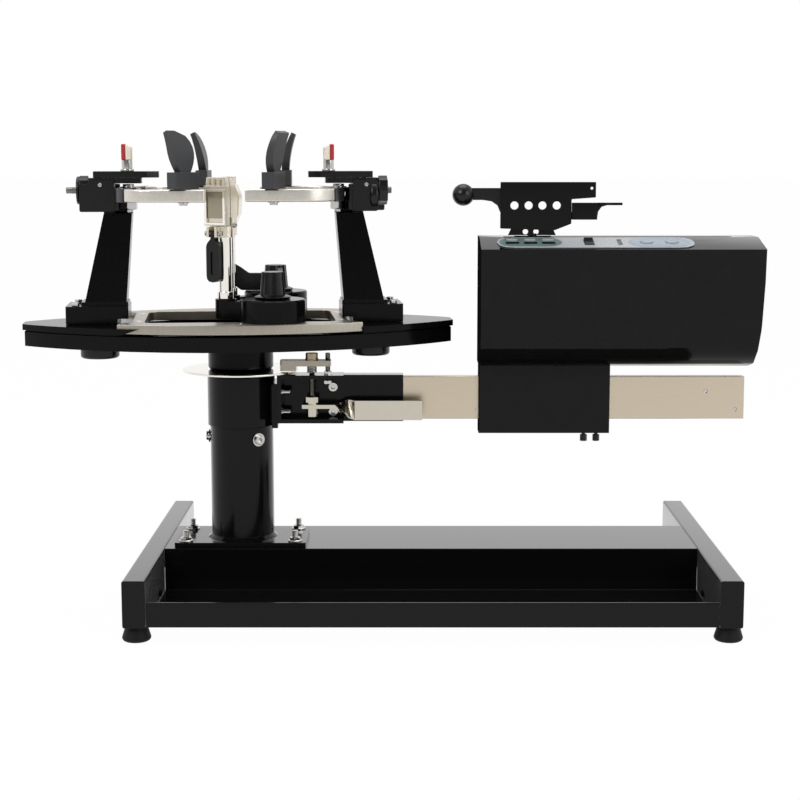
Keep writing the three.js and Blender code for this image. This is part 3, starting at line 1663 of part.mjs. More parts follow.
// Gripper jaw: a bar behind the plate, a pad under the horn and a finger tab
const jawFront = plateSpan[1] + jawOpen;
function gripperJaw() {
  const barFront = plateSpan[1] + jawOpen + leverPlateThickness;
  const barSpan = [barFront, barFront + jawBarThickness];
  const bar = block([jawLeft, jawRight], barSpan, [jawBottom, jawBarTop]);
  const pad = block([jawPadLeft, jawRight], [jawFront, barSpan[1]], [jawBottom, jawTop]);
  const outline = new THREE.Shape();
  outline.moveTo(jawRight - overrun, jawBottom);
  outline.lineTo(jawRight, jawBottom);
  const tabBase = jawTop - jawTabThickness;
  outline.quadraticCurveTo(jawRight, tabBase, jawRight + jawWebReach, tabBase);
  outline.lineTo(jawTabRight, jawTop - jawTabThickness);
  outline.lineTo(jawTabRight, jawTop);
  outline.lineTo(jawRight - overrun, jawTop);
  outline.closePath();
  const tab = wall(outline, [jawFront + jawOpen, barSpan[1]]);
  return join(bar, pad, tab);
}

// Gripper lever: a flat arm with a curved underside and a ball
function gripperLever() {
  const outline = new THREE.Shape();
  outline.moveTo(leverRight, leverTopLevel);
  outline.lineTo(leverTip, leverTopLevel);
  outline.lineTo(leverTip, leverUnderLevel);
  outline.lineTo(leverTip + ballRadius, leverUnderLevel);
  outline.quadraticCurveTo(leverNarrow - overrun, leverUnderLevel, leverNarrow, leverLowLevel);
  outline.lineTo(leverRight, leverLowLevel);
  outline.closePath();
  outline.holes.push(circle(leverPinRadius, [leverPinPlace, leverPinLevel]));
  const middle = plateSpan[1] + seatGap + leverPlateThickness / 2;
  const plate = wall(outline, around(middle, leverPlateThickness));
  const ball = new THREE.SphereGeometry(ballRadius, smallSides, smallSides / 2)
    .rotateX(Math.PI / 2)
    .translate(ballPlace, middle, ballLevel);
  return join(plate, ball);
}

function thumbScrew() {
  const headTopLevel = skirtBottom - thumbGap;
  const head = loft([
    flutedRing(thumbHeadRadius, thumbFluteDepthShare, thumbFlutes, headTopLevel - thumbHeadHeight),
    flutedRing(thumbHeadRadius, thumbFluteDepthShare, thumbFlutes, headTopLevel),
  ]);
  return join(head, rod(thumbShankRadius, [headTopLevel - overrun, -seatGap], pinSides));
}

piece("carriage", carriage(), blackPaint, tensionHead);
piece("gripper_body", gripperBody(), blackPaint, tensionHead);
piece("gripper_jaw", gripperJaw(), blackPaint, tensionHead);
piece("gripper_lever", gripperLever(), blackPlastic, tensionHead);
thumbPlaces.forEach((x, i) => {
  piece("thumb_screw_" + (i + 1), thumbScrew().translate(x, 0, 0), blackPlastic, tensionHead);
});

// The machine's own frame: on the ground, under the middle of its box
const extent = new THREE.Box3().setFromObject(machine, true);
machine.position.set(-(extent.min.x + extent.max.x) / 2, -(extent.min.y + extent.max.y) / 2, -extent.min.z);

export default machine;
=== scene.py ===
import json
import math

import bpy
from mathutils import Matrix, Vector

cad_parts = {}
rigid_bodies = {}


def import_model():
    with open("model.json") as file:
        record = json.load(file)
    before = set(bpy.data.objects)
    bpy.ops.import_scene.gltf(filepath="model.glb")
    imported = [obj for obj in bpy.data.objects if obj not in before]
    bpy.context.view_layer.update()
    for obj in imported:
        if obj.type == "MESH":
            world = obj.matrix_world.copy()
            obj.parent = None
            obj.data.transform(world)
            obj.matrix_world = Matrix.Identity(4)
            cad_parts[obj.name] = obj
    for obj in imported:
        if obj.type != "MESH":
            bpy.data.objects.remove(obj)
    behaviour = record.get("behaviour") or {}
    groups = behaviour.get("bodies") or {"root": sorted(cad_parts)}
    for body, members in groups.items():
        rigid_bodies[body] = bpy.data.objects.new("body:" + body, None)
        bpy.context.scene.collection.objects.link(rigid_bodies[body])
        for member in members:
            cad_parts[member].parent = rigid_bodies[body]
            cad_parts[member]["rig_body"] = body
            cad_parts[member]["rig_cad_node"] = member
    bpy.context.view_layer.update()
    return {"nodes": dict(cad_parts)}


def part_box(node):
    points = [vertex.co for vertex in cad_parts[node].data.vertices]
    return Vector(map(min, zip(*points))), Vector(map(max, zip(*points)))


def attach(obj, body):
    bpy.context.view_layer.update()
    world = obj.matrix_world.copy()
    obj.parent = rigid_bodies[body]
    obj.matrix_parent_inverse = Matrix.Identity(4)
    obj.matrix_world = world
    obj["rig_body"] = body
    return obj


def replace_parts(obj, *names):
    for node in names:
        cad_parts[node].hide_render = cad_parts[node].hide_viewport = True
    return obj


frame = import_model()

MM = 0.001

# Studio: the camera stands in front of the machine, a little above the turntable, and looks slightly down.
# A white wall and floor stand behind and under the machine, and the room in front of it is dimmer.
camera_place = Vector((19.8, -1940.5, 515.5)) * MM
camera_down = math.radians(8.37)
bpy.ops.object.camera_add(location=camera_place, rotation=(math.pi / 2 - camera_down, 0, 0))
camera = bpy.context.object
camera.data.sensor_width = 36
camera.data.lens = 76.5
camera.data.shift_x = -0.0106
camera.data.clip_start = 0.05
camera.data.clip_end = 100
bpy.context.scene.camera = camera
bpy.context.scene.view_settings.view_transform = "Standard"
white = (1, 1, 1, 1)


def node_of(tree, kind, **values):
    """A shader node with some of its sockets set."""
    made = tree.nodes.new(kind)
    for key, value in values.items():
        made.inputs[key.replace("_", " ")].default_value = value
    return made


def greater(tree, first, second):
    """The greater of two sockets."""
    made = tree.nodes.new("ShaderNodeMath")
    made.operation = "MAXIMUM"
    tree.links.new(first, made.inputs[0])
    tree.links.new(second, made.inputs[1])
    return made.outputs[0]


def seen_rays(tree):
    """1 for what the camera, metal or glass sees, and 0 for the light that falls on things."""
    path = tree.nodes.new("ShaderNodeLightPath")
    total = greater(tree, path.outputs["Is Camera Ray"], path.outputs["Is Glossy Ray"])
    return greater(tree, total, path.outputs["Is Transmission Ray"])


world = bpy.data.worlds.new("studio")
bpy.context.scene.world = world
world.use_nodes = True
tree = world.node_tree
tree.nodes.clear()
direction = tree.nodes.new("ShaderNodeTexCoord")
split = tree.nodes.new("ShaderNodeSeparateXYZ")
tree.links.new(direction.outputs["Generated"], split.inputs[0])
front_room = tree.nodes.new("ShaderNodeMapRange")
front_room.interpolation_type = "SMOOTHSTEP"
front_room.inputs["From Min"].default_value = -0.75
front_room.inputs["From Max"].default_value = -0.2
front_room.inputs["To Min"].default_value = 0.18
front_room.inputs["To Max"].default_value = 1.0
tree.links.new(split.outputs["Y"], front_room.inputs["Value"])
rays = tree.nodes.new("ShaderNodeLightPath")
seen = node_of(tree, "ShaderNodeBackground", Color=white)
tree.links.new(greater(tree, front_room.outputs[0], rays.outputs["Is Camera Ray"]), seen.inputs["Strength"])
falling = node_of(tree, "ShaderNodeBackground", Color=white, Strength=0.55)
either = tree.nodes.new("ShaderNodeMixShader")
tree.links.new(seen_rays(tree), either.inputs[0])
tree.links.new(falling.outputs[0], either.inputs[1])
tree.links.new(seen.outputs[0], either.inputs[2])
out = tree.nodes.new("ShaderNodeOutputWorld")
tree.links.new(either.outputs[0], out.inputs[0])


def soft_light(name, place, target, width, power):
    """A square soft box that faces its target."""
    bpy.ops.object.light_add(type="AREA", location=place)
    lamp = bpy.context.object
    lamp.name = name
    lamp.data.shape = "SQUARE"
    lamp.data.size = width
    lamp.data.energy = power
    lamp.rotation_euler = (Vector(target) - Vector(place)).to_track_quat("-Z", "Y").to_euler()


soft_light("key_light", (-1.3, -1.6, 1.7), (0, 0, 0.3), 1.1, 26)
soft_light("fill_light", (1.5, -1.5, 1.1), (0, 0, 0.3), 1.2, 14)
soft_light("top_light", (0, 0.3, 2.3), (0, 0, 0.2), 1.4, 18)

bpy.ops.mesh.primitive_plane_add(size=60, location=(0, 0, -0.0002))
floor = bpy.context.object
floor.name = "studio_floor"
floor_white = bpy.data.materials.new("studio_floor_white")
floor_white.use_nodes = True
tree = floor_white.node_tree
tree.nodes.clear()
matte = node_of(tree, "ShaderNodeBsdfDiffuse", Color=(0.9, 0.9, 0.9, 1))
glow = node_of(tree, "ShaderNodeEmission", Color=white, Strength=1)
share = tree.nodes.new("ShaderNodeMath")
share.operation = "MULTIPLY"
share.inputs[1].default_value = 0.98  # the rest stays matte and keeps the object's shadow
tree.links.new(seen_rays(tree), share.inputs[0])
both = tree.nodes.new("ShaderNodeMixShader")
tree.links.new(share.outputs[0], both.inputs[0])
tree.links.new(matte.outputs[0], both.inputs[1])
tree.links.new(glow.outputs[0], both.inputs[2])
out = tree.nodes.new("ShaderNodeOutputMaterial")
tree.links.new(both.outputs[0], out.inputs["Surface"])
floor.data.materials.append(floor_white)

# Side beams: two black powder-coated steel box sections that run from front to rear, with feet under their
# ends. They are drawn with a small radius along their edges, and their ends are closed by welded and ground
# plates.
merge_distance = 0.01 * MM
flat_angle = math.radians(0.5)
grain_range = (0.3, 0.7)  # where the noise's run from shade to colour starts and ends


def only(*pieces):
    """Selects these objects alone, the first one active."""
    bpy.ops.object.select_all(action="DESELECT")
    for piece in pieces:
        piece.select_set(True)
    bpy.context.view_layer.objects.active = pieces[0]


def finish_material(name, colour, shade, roughness, grain, bump, stretch=(1, 1, 1), **sockets):
    """A finish whose colour runs from colour to shade and whose roughness runs over a range, in one grain.
    grain is the grain's count in a metre, and bump its height in metres."""
    made = bpy.data.materials.new(name)
    made.use_nodes = True
    tree = made.node_tree
    shader = tree.nodes["Principled BSDF"]
    for key, value in sockets.items():
        shader.inputs[key.replace("_", " ")].default_value = value
    place = tree.nodes.new("ShaderNodeTexCoord")
    turn = tree.nodes.new("ShaderNodeMapping")
    turn.inputs["Scale"].default_value = stretch
    noise = node_of(tree, "ShaderNodeTexNoise", Scale=grain, Detail=4.0, Roughness=0.6)
    tree.links.new(place.outputs["Object"], turn.inputs["Vector"])
    tree.links.new(turn.outputs[0], noise.inputs["Vector"])
    ramp = tree.nodes.new("ShaderNodeValToRGB")
    for index, tint in enumerate((shade, colour)):
        ramp.color_ramp.elements[index].position = grain_range[index]
        ramp.color_ramp.elements[index].color = (*tint, 1)
    tree.links.new(noise.outputs["Fac"], ramp.inputs["Fac"])
    tree.links.new(ramp.outputs["Color"], shader.inputs["Base Color"])
    rough = tree.nodes.new("ShaderNodeMapRange")
    rough.inputs["From Min"].default_value = grain_range[0]
    rough.inputs["From Max"].default_value = grain_range[1]
    rough.inputs["To Min"].default_value = roughness[0]
    rough.inputs["To Max"].default_value = roughness[1]
    tree.links.new(noise.outputs["Fac"], rough.inputs["Value"])
    tree.links.new(rough.outputs[0], shader.inputs["Roughness"])
    relief = node_of(tree, "ShaderNodeBump", Strength=1.0, Distance=bump)
    tree.links.new(noise.outputs["Fac"], relief.inputs["Height"])
    tree.links.new(relief.outputs[0], shader.inputs["Normal"])
    return made


def settle(piece, name, body, material, frame_of=None):
    """Moves a piece from its own frame to its place, names it, and gives it its body and finish."""
    if frame_of is not None:
        piece.matrix_world = frame_of @ piece.matrix_world
    only(piece)
    bpy.ops.object.transform_apply(location=True, rotation=True, scale=True)
    piece.name = name
    piece.data.name = name
    piece.data.materials.clear()
    piece.data.materials.append(material)
    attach(piece, body)
    return piece


def rounded_edges(piece, width, angle=32, segments=2):
    """Bevels the edges that are sharper than the angle, and smooths what is left."""
    only(piece)
    bevel = piece.modifiers.new("edges", "BEVEL")
    bevel.width = width
    bevel.segments = segments
    bevel.limit_method = "ANGLE"
    bevel.angle_limit = math.radians(angle)
    bpy.ops.object.modifier_apply(modifier=bevel.name)
    bpy.ops.object.shade_smooth_by_angle(angle=math.radians(angle))
    weight = piece.modifiers.new("faces", "WEIGHTED_NORMAL")
    weight.keep_sharp = True
    bpy.ops.object.modifier_apply(modifier=weight.name)
    return piece


def merged_copy(node):
    """A loose copy of a solid with its doubled corners merged."""
    only(frame["nodes"][node])
    bpy.ops.object.duplicate()
    piece = bpy.context.object
    piece.parent = None
    del piece["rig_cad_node"]
    del piece["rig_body"]
    bpy.ops.object.mode_set(mode="EDIT")
    bpy.ops.mesh.select_all(action="SELECT")
    bpy.ops.mesh.remove_doubles(threshold=merge_distance)
    bpy.ops.object.mode_set(mode="OBJECT")
    return piece


def drop_faces(piece, doomed):
    """Takes off the faces that pass a test, and stays in edit mode."""
    bpy.ops.object.mode_set(mode="EDIT")
    bpy.ops.mesh.select_mode(type="FACE")
    bpy.ops.object.mode_set(mode="OBJECT")
    for face in piece.data.polygons:
        face.select = bool(doomed(face))
    bpy.ops.object.mode_set(mode="EDIT")
    bpy.ops.mesh.delete(type="FACE")


def whole_faces():
    """Makes one face of the triangles of each flat face, and goes back from edit mode to object mode."""
    bpy.ops.mesh.select_mode(type="VERT")
    bpy.ops.mesh.select_all(action="SELECT")
    bpy.ops.mesh.dissolve_limited(angle_limit=flat_angle)
    bpy.ops.object.mode_set(mode="OBJECT")


def finished(node, edge, material, angle=32, segments=2, without=None):
    """A finished copy of a solid, with whole faces and rounded edges, that stands for it.
    The faces whose middle passes the test called without are taken off and the holes closed."""
    piece = merged_copy(node)
    body = frame["nodes"][node]["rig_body"]
    if without is None:
        bpy.ops.object.mode_set(mode="EDIT")
    else:
        drop_faces(piece, lambda face: without(face.center))
        bpy.ops.mesh.select_mode(type="EDGE")
        bpy.ops.mesh.select_all(action="DESELECT")
        bpy.ops.mesh.select_non_manifold(extend=False)
        bpy.ops.mesh.fill_holes(sides=0)
    whole_faces()
    rounded_edges(piece, edge, angle, segments)
    settle(piece, node + "_shell", body, material)
    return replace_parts(piece, node)


powder_black = finish_material(
    "powder_black", (0.0035, 0.0035, 0.0037), (0.0025, 0.0025, 0.0026), (0.14, 0.2), 420, 0.0000015,
    Specular_IOR_Level=0.08, Coat_Weight=1.0, Coat_IOR=1.17, Coat_Roughness=0.1,
)
powder_gloss = finish_material(
    "powder_gloss", (0.0035, 0.0035, 0.0037), (0.0025, 0.0025, 0.0026), (0.08, 0.12), 420, 0.0000008,
    Specular_IOR_Level=0.08, Coat_Weight=1.0, Coat_IOR=1.2, Coat_Roughness=0.04,
    Sheen_Weight=1.0, Sheen_Roughness=0.15,
)
for side in ("left", "right"):
    finished("side_beam_" + side, 1.2 * MM, powder_gloss, segments=3)

# Feet: flared black rubber, screwed up into the beams from below, each with a steel washer between it and
# the beam. The mould leaves them matte, with a faint grain.
rubber_black = finish_material(
    "rubber_black", (0.005, 0.005, 0.005), (0.0035, 0.0035, 0.0035), (0.5, 0.65), 1500, 0.000012,
    Specular_IOR_Level=0.2,
)
for corner in ("front_left", "front_right", "rear_left", "rear_right"):
    finished("foot_" + corner, 0.8 * MM, rubber_black)

# Deck and tool tray: one sheet of steel, folded into the raised deck, its front and rear walls and the
# lipped tray. It is powder-coated like the beams, and two button-head screws at each end of the tray hold
# it to them.
bearing_low, bearing_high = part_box("spindle_bearing")
axis_x = (bearing_low.x + bearing_high.x) / 2
axis_y = (bearing_low.y + bearing_high.y) / 2


def spot(x, y, z, direction=(0, 0, 1)):
    """A frame at a place measured in millimetres from the column's axis and the ground.
    Its Z runs along a direction."""
    upright = Matrix.Identity(4)
    turn = upright if direction[2] == 1 else Vector(direction).to_track_quat("Z", "Y").to_matrix().to_4x4()
    return Matrix.Translation((axis_x + x * MM, axis_y + y * MM, z * MM)) @ turn


def cylinder(radius, span, middle=(0, 0), sides=32):
    """A cylinder along Z between two levels, in millimetres."""
    bpy.ops.object.select_all(action="DESELECT")
    place = Vector((middle[0], middle[1], (span[0] + span[1]) / 2)) * MM
    depth = (span[1] - span[0]) * MM
    bpy.ops.mesh.primitive_cylinder_add(vertices=sides, radius=radius * MM, depth=depth, location=place)
    return bpy.context.object


def block(spans):
    """A box between three pairs of levels, in millimetres."""
    bpy.ops.object.select_all(action="DESELECT")
    middle = Vector([(low + high) / 2 for low, high in spans]) * MM
    bpy.ops.mesh.primitive_cube_add(size=1, location=middle)
    made = bpy.context.object
    made.scale = [(high - low) * MM for low, high in spans]
    bpy.ops.object.transform_apply(location=False, rotation=False, scale=True)
    return made


def remove(*pieces):
    """Removes pieces that were tools or patterns only."""
    only(*pieces)
    bpy.ops.object.delete()


def combined(piece, tool, operation):
    """Cuts a piece by another one, or joins or crosses them, and removes the other one."""
    only(piece)
    change = piece.modifiers.new("shape", "BOOLEAN")
    change.operation = operation
    change.object = tool
    change.solver = "EXACT"
    bpy.ops.object.modifier_apply(modifier=change.name)
    remove(tool)
    only(piece)
    return piece


def joined(*pieces):
    """Several shells as one piece."""
    only(*pieces)
    bpy.ops.object.join()
    return bpy.context.object


def cap_screw(radius, height, key_share=0.5):
    """A socket head: a round head with a chamfered rim and a hexagon socket."""
    head = cylinder(radius, (0, height), sides=40)
    rounded_edges(head, radius * 0.12 * MM)
    key = cylinder(radius * key_share, (height * 0.15, height + 1), sides=6)
    combined(head, key, "DIFFERENCE")
    return rounded_edges(head, 0.12 * MM, segments=1)


def nut(radius, height, bore):
    """A hexagon with the round chamfers that turning leaves on its corners."""
    body = cylinder(radius, (0, height), sides=6)
    blank = cylinder(radius * 0.99, (0, height), sides=48)
    rounded_edges(blank, radius * 0.14 * MM, angle=60, segments=1)
    combined(body, blank, "INTERSECT")
    combined(body, cylinder(bore, (-1, height + 1), sides=24), "DIFFERENCE")
    return rounded_edges(body, 0.15 * MM, angle=25, segments=1)


def washer(radius, bore, thickness):
    """A stamped washer with a softened edge."""
    ring = cylinder(radius, (0, thickness), sides=40)
    combined(ring, cylinder(bore, (-1, thickness + 1), sides=24), "DIFFERENCE")
    return rounded_edges(ring, thickness * 0.2 * MM)


def thread(radius, span, pitch):
    """A threaded rod: a circle extruded ring by ring, out to the crest and in to the root.
    Its end is domed."""
    bpy.ops.object.select_all(action="DESELECT")
    start = (0, 0, span[0] * MM)
    bpy.ops.mesh.primitive_circle_add(vertices=20, radius=radius * MM, location=start, fill_type="NGON")
    made = bpy.context.object
    bpy.ops.object.mode_set(mode="EDIT")
    root = 0.87
    for _ in range(int((span[1] - span[0]) / pitch)):
        for size in (root, 1 / root):
            bpy.ops.mesh.extrude_region_move(TRANSFORM_OT_translate={"value": (0, 0, pitch / 2 * MM)})
            bpy.ops.transform.resize(value=(size, size, 1))
    for rise, size in ((0.12, 0.85), (0.08, 0.6)):
        bpy.ops.mesh.extrude_region_move(TRANSFORM_OT_translate={"value": (0, 0, radius * rise * MM)})
        bpy.ops.transform.resize(value=(size, size, 1))
    bpy.ops.mesh.select_all(action="SELECT")
    bpy.ops.mesh.normals_make_consistent(inside=False)
    bpy.ops.object.mode_set(mode="OBJECT")
    return made


def copy_of(pattern):
    """A copy of a pattern, with its own mesh."""
    only(pattern)
    bpy.ops.object.duplicate()
    return bpy.context.object


def copies(pattern, body, material, places):
    """Copies a pattern to each named place, and removes the pattern."""
    for name, frame_of in places.items():
        settle(copy_of(pattern), name, body, material, frame_of)
    remove(pattern)


finished("deck", 0.4 * MM, powder_gloss)
bright_zinc = finish_material(
    "bright_zinc", (0.56, 0.55, 0.53), (0.5, 0.49, 0.47), (0.08, 0.14), 900, 0.000001, Metallic=1.0
)
tray_screws = {}
for side, wall, inward in (("left", -85.4, 1), ("right", 518.3, -1)):
    for number, y in enumerate((-165, -90)):
        tray_screws["tray_screw_%s_%d" % (side, number + 1)] = spot(wall, y, 30, (inward, 0, 0))
copies(cap_screw(4.6, 2.8, 0.52), "frame", powder_black, tray_screws)

# Column: a steel tube welded to its foot plate all round, and powder-coated with it. Four plated studs
# stand up through the plate, each with a washer and a nut, and clamp it down on the deck.
plate_level = 75.0
stud_places = [(x, y) for x in (-62, 62) for y in (-32, 32)]


def on_column(middle):
    """A place in millimetres from the column's axis and the ground."""
    return Vector((middle.x - axis_x, middle.y - axis_y, middle.z)) / MM


def near_stud(middle):
    """Faces of the solid's own studs, which finer ones stand in for."""
    here = on_column(middle)
    return here.z > plate_level + 0.02 and any((here.xy - Vector(place)).length < 9 for place in stud_places)


finished("column", 0.8 * MM, powder_black, without=near_stud)
bpy.ops.object.select_all(action="DESELECT")
bpy.ops.mesh.primitive_torus_add(
    major_radius=36.3 * MM, minor_radius=1.1 * MM, major_segments=180, minor_segments=12,
    location=(0, 0, (plate_level + 0.6) * MM),
)
bead = bpy.context.object
for vertex in bead.data.vertices:
    ripple = 1 + 0.004 * math.sin(45 * math.atan2(vertex.co.y, vertex.co.x))
    vertex.co.x *= ripple
    vertex.co.y *= ripple
bpy.ops.object.shade_smooth()
settle(bead, "column_weld", "frame", powder_black, spot(0, 0, 0))
stack = joined(washer(8, 3.6, 1.6), thread(3.5, (0, 12.6), 1.0))
hold_down = nut(6.8, 6, 3.5)
hold_down.location.z = 1.6 * MM
stack = joined(stack, hold_down)
bpy.ops.object.transform_apply(location=True)
copies(stack, "frame", bright_zinc, {
    "hold_down_stud_%d" % (number + 1): spot(x, y, plate_level) for number, (x, y) in enumerate(stud_places)
})

# Bearing head: a turned and painted sleeve let down into the tube and locked by two set bolts, each on its
# own washer. Its top is bored for the spindle's bearing, and the rail bracket's flange is welded to its
# right side.
set_level = 191.5
set_radius = 36.2
set_front = math.radians(36)
front_x, front_y = math.sin(set_front), -math.cos(set_front)


def set_bolt(middle):
    """Faces of the solid's own set bolts."""
    here = on_column(middle)
    return here.z < 202 and here.xy.length > 33


finished("column_head", 1.2 * MM, powder_black, without=set_bolt)
bolt = joined(washer(7.6, 3.5, 1.4), cylinder(3.5, (-4, 1)))
head = cap_screw(5.4, 6)
head.location.z = 1.4 * MM
bolt = joined(bolt, head)
bpy.ops.object.transform_apply(location=True)
copies(bolt, "frame", bright_zinc, {
    "set_bolt_left": spot(-set_radius, 0, set_level, (-1, 0, 0)),
    "set_bolt_front": spot(set_radius * front_x, set_radius * front_y, set_level, (front_x, front_y, 0)),
})
polished_steel = finish_material(
    "polished_steel", (0.88, 0.85, 0.79), (0.84, 0.81, 0.75), (0.08, 0.13), 300, 0.0000006, Metallic=1.0
)
finished("spindle_bearing", 0.5 * MM, polished_steel)

# Rail carrier: a channel of thick steel sheet, painted and bolted through its end plate to the flange. Two
# socket screws clamp the end of the rail against its web, and a sleeve holds the rail further out. The rail
# is a flat bar of drawn steel, with a stop screw beside the head and two pins near its free end.
bracket_top = 265.8
web_front = -11.8
shelf_middle = -24.8
socket_x = 105.5
socket_levels = (bracket_top - 16, bracket_top - 44.5)
flange_levels = (bracket_top - 19.8, bracket_top - 42.8)
guide_place = (100.3, -28)
rail_bottom = 212.0
rail_height = 48.6
frontward = (0, -1, 0)


def beside(value, places, reach):
    """Whether a value is within reach of one of some places."""
    return any(abs(value - place) < reach for place in places)


def bracket_fastener(middle):
    """Faces of the bracket's own screws, nuts and guide stud."""
    here = on_column(middle)
    screws = here.y < web_front - 0.02 and abs(here.x - socket_x) < 6 and beside(here.z, socket_levels, 5.5)
    nuts = 48.2 < here.x < 56 and abs(here.y - shelf_middle) < 6 and beside(here.z, flange_levels, 6)
    near_guide = (here.xy - Vector(guide_place)).length < 5.5
    guides = near_guide and (here.z > bracket_top + 0.02 or 256 < here.z < bracket_top - 4.55)
    return screws or nuts or guides


finished("rail_bracket", 0.6 * MM, powder_black, without=bracket_fastener)
copies(cap_screw(5.3, 4.6, 0.5), "frame", bright_zinc, {
    "rail_screw_%d" % (number + 1): spot(socket_x, web_front, z, frontward)
    for number, z in enumerate(socket_levels)
})
flange_bolt = joined(washer(5.6, 2.4, 1.2), cap_screw(3.6, 9.5, 0.55))
copies(flange_bolt, "frame", bright_zinc, {
    "flange_bolt_%d" % (number + 1): spot(48.1, shelf_middle, z, (1, 0, 0))
    for number, z in enumerate(flange_levels)
})
guide = joined(thread(3, (-9, 24), 1.0), nut(4.8, 4, 3))
low_nut = nut(4.8, 4, 3)
low_nut.location.z = -8.6 * MM
guide = joined(guide, low_nut)
bpy.ops.object.transform_apply(location=True)
settle(guide, "brake_guide_stud", "frame", bright_zinc, spot(*guide_place, bracket_top))
brushed_steel = finish_material(
    "brushed_steel", (0.66, 0.575, 0.45), (0.61, 0.53, 0.41), (0.28, 0.34), 700, 0.000001,
    stretch=(0.03, 1, 3), Metallic=1.0,
)
finished("rail", 0.6 * MM, brushed_steel)
pin = rounded_edges(cylinder(2.1, (-1, 0.0), sides=24), 0.3 * MM)
copies(pin, "frame", bright_zinc, {
    "rail_pin_outer": spot(562.9, -6.2, rail_bottom + rail_height * 0.22, frontward),
    "rail_pin_inner": spot(529.3, -6.2, rail_bottom + rail_height * 0.66, frontward),
})
stop = cap_screw(3.0, 2.4, 0.5)
settle(stop, "rail_stop_screw", "frame", bright_zinc, spot(269.8, -5.4, 222.5, frontward))

# Brake: a polished disc turns with the table between a fixed anvil and a plate that the lever's screw draws
# down. The plate is ground steel with a brass-coloured cap nut, and a coil spring lifts it off the disc
# again.
screw_place = (82.4, -28)
draw_bottom = 229.4
brake_bottom = bracket_top + 10
brake_top = brake_bottom + 6.4
plate_travel = 1.2
wire_radius = 0.7
coil_radius = 5.2


def draw_screw(middle):
    """Faces of the plate's own screw and cap."""
    here = on_column(middle)
    near = (here.xy - Vector(screw_place)).length < 7.6
    return near and (here.z > brake_top + 0.02 or here.z < brake_bottom - 0.02)


ground_steel = finish_material(
    "ground_steel", (0.42, 0.38, 0.32), (0.34, 0.31, 0.26), (0.25, 0.35), 400, 0.000002, Metallic=1.0
)
finished("brake_plate", 0.6 * MM, ground_steel, without=draw_screw)
cap_brass = finish_material(
    "cap_brass", (0.42, 0.34, 0.22), (0.34, 0.27, 0.17), (0.2, 0.32), 600, 0.000003, Metallic=1.0
)
flutes = 56
cap = cylinder(7, (0, 8), sides=flutes)
for vertex in cap.data.vertices:
    if math.floor(math.atan2(vertex.co.y, vertex.co.x) / math.tau * flutes + 0.5) % 2:
        vertex.co.x *= 0.95
        vertex.co.y *= 0.95
rounded_edges(cap, 0.5 * MM, angle=60)
cap = joined(cap, rounded_edges(cylinder(7.6, (0, 1.6), sides=40), 0.3 * MM))
settle(cap, "brake_cap_nut", "brake_plate", cap_brass, spot(*screw_place, brake_top))
draw = thread(3.2, (0, brake_bottom - draw_bottom + 0.8), 1.2)
draw_frame = spot(*screw_place, draw_bottom)
settle(draw, "brake_draw_screw", "brake_plate", bright_zinc, draw_frame)
bpy.ops.object.select_all(action="DESELECT")
bpy.ops.mesh.primitive_circle_add(
    vertices=10, radius=wire_radius * MM, location=(coil_radius * MM, 0, 0), rotation=(math.pi / 2, 0, 0)
)
spring = bpy.context.object
bpy.ops.object.transform_apply(location=True, rotation=True)
coil = spring.modifiers.new("coil", "SCREW")
coil.axis = "Z"
coil.angle = math.tau
coil.screw_offset = 1.8 * MM
coil.iterations = 4
coil.steps = 24
coil.render_steps = 24
only(spring)
bpy.ops.object.modifier_apply(modifier=coil.name)
bpy.ops.object.mode_set(mode="EDIT")
bpy.ops.mesh.select_all(action="SELECT")
bpy.ops.mesh.remove_doubles(threshold=merge_distance)
bpy.ops.mesh.select_all(action="DESELECT")
bpy.ops.mesh.select_non_manifold()
bpy.ops.mesh.fill_holes(sides=0)
bpy.ops.mesh.select_all(action="SELECT")
bpy.ops.mesh.normals_make_consistent(inside=False)
bpy.ops.object.mode_set(mode="OBJECT")
bpy.ops.object.shade_smooth_by_angle(angle=math.radians(40))
spring_place = spot(*screw_place, bracket_top + plate_travel + wire_radius + 0.05)
settle(spring, "brake_spring", "brake_plate", bright_zinc, spring_place)
lever_steel = finish_material(
    "lever_steel", (0.58, 0.54, 0.46), (0.54, 0.5, 0.43), (0.14, 0.2), 200, 0.0000006, Metallic=1.0
)
finished("brake_lever", 0.6 * MM, lever_steel)
finished("brake_disc", 0.3 * MM, polished_steel)

# Turntable: a boat-shaped iron casting, machined and enamelled black, that turns on the spindle's hub. The
# aluminium ring that the clamps glide in is let into its top and held by countersunk screws, and the bed
# inside the ring is painted matte.
enamel_black = finish_material(
    "enamel_black", (0.0032, 0.0032, 0.0033), (0.0024, 0.0024, 0.0025), (0.14, 0.2), 420, 0.000001,
    Specular_IOR_Level=0.1,
)
matte_black = finish_material(
    "matte_black", (0.007, 0.007, 0.007), (0.005, 0.005, 0.005), (0.6, 0.7), 900, 0.000004,
    Specular_IOR_Level=0.0,
)
table_turn = 6  # degrees that the table is turned in the photograph
bed_level = 315.2
ring_top = 328.6


def shift(x, y, z):
    """A frame moved by millimetres."""
    return Matrix.Translation(Vector((x, y, z)) * MM)


def lining(node, chosen, name, body, material):
    """A thin sheet that covers the faces of a solid whose middle and normal pass a test."""
    sheet = merged_copy(node)
    drop_faces(sheet, lambda face: not chosen(face.center, face.normal))
    whole_faces()
    thick = sheet.modifiers.new("thickness", "SOLIDIFY")
    thick.thickness = 0.24 * MM
    thick.offset = 0
    bpy.ops.object.modifier_apply(modifier=thick.name)
    settle(sheet, name, body, material)


def bed(middle, normal):
    """Faces of the table's bed, inside the ring."""
    return normal.z > 0.9 and abs(on_column(middle).z - bed_level) < 0.1


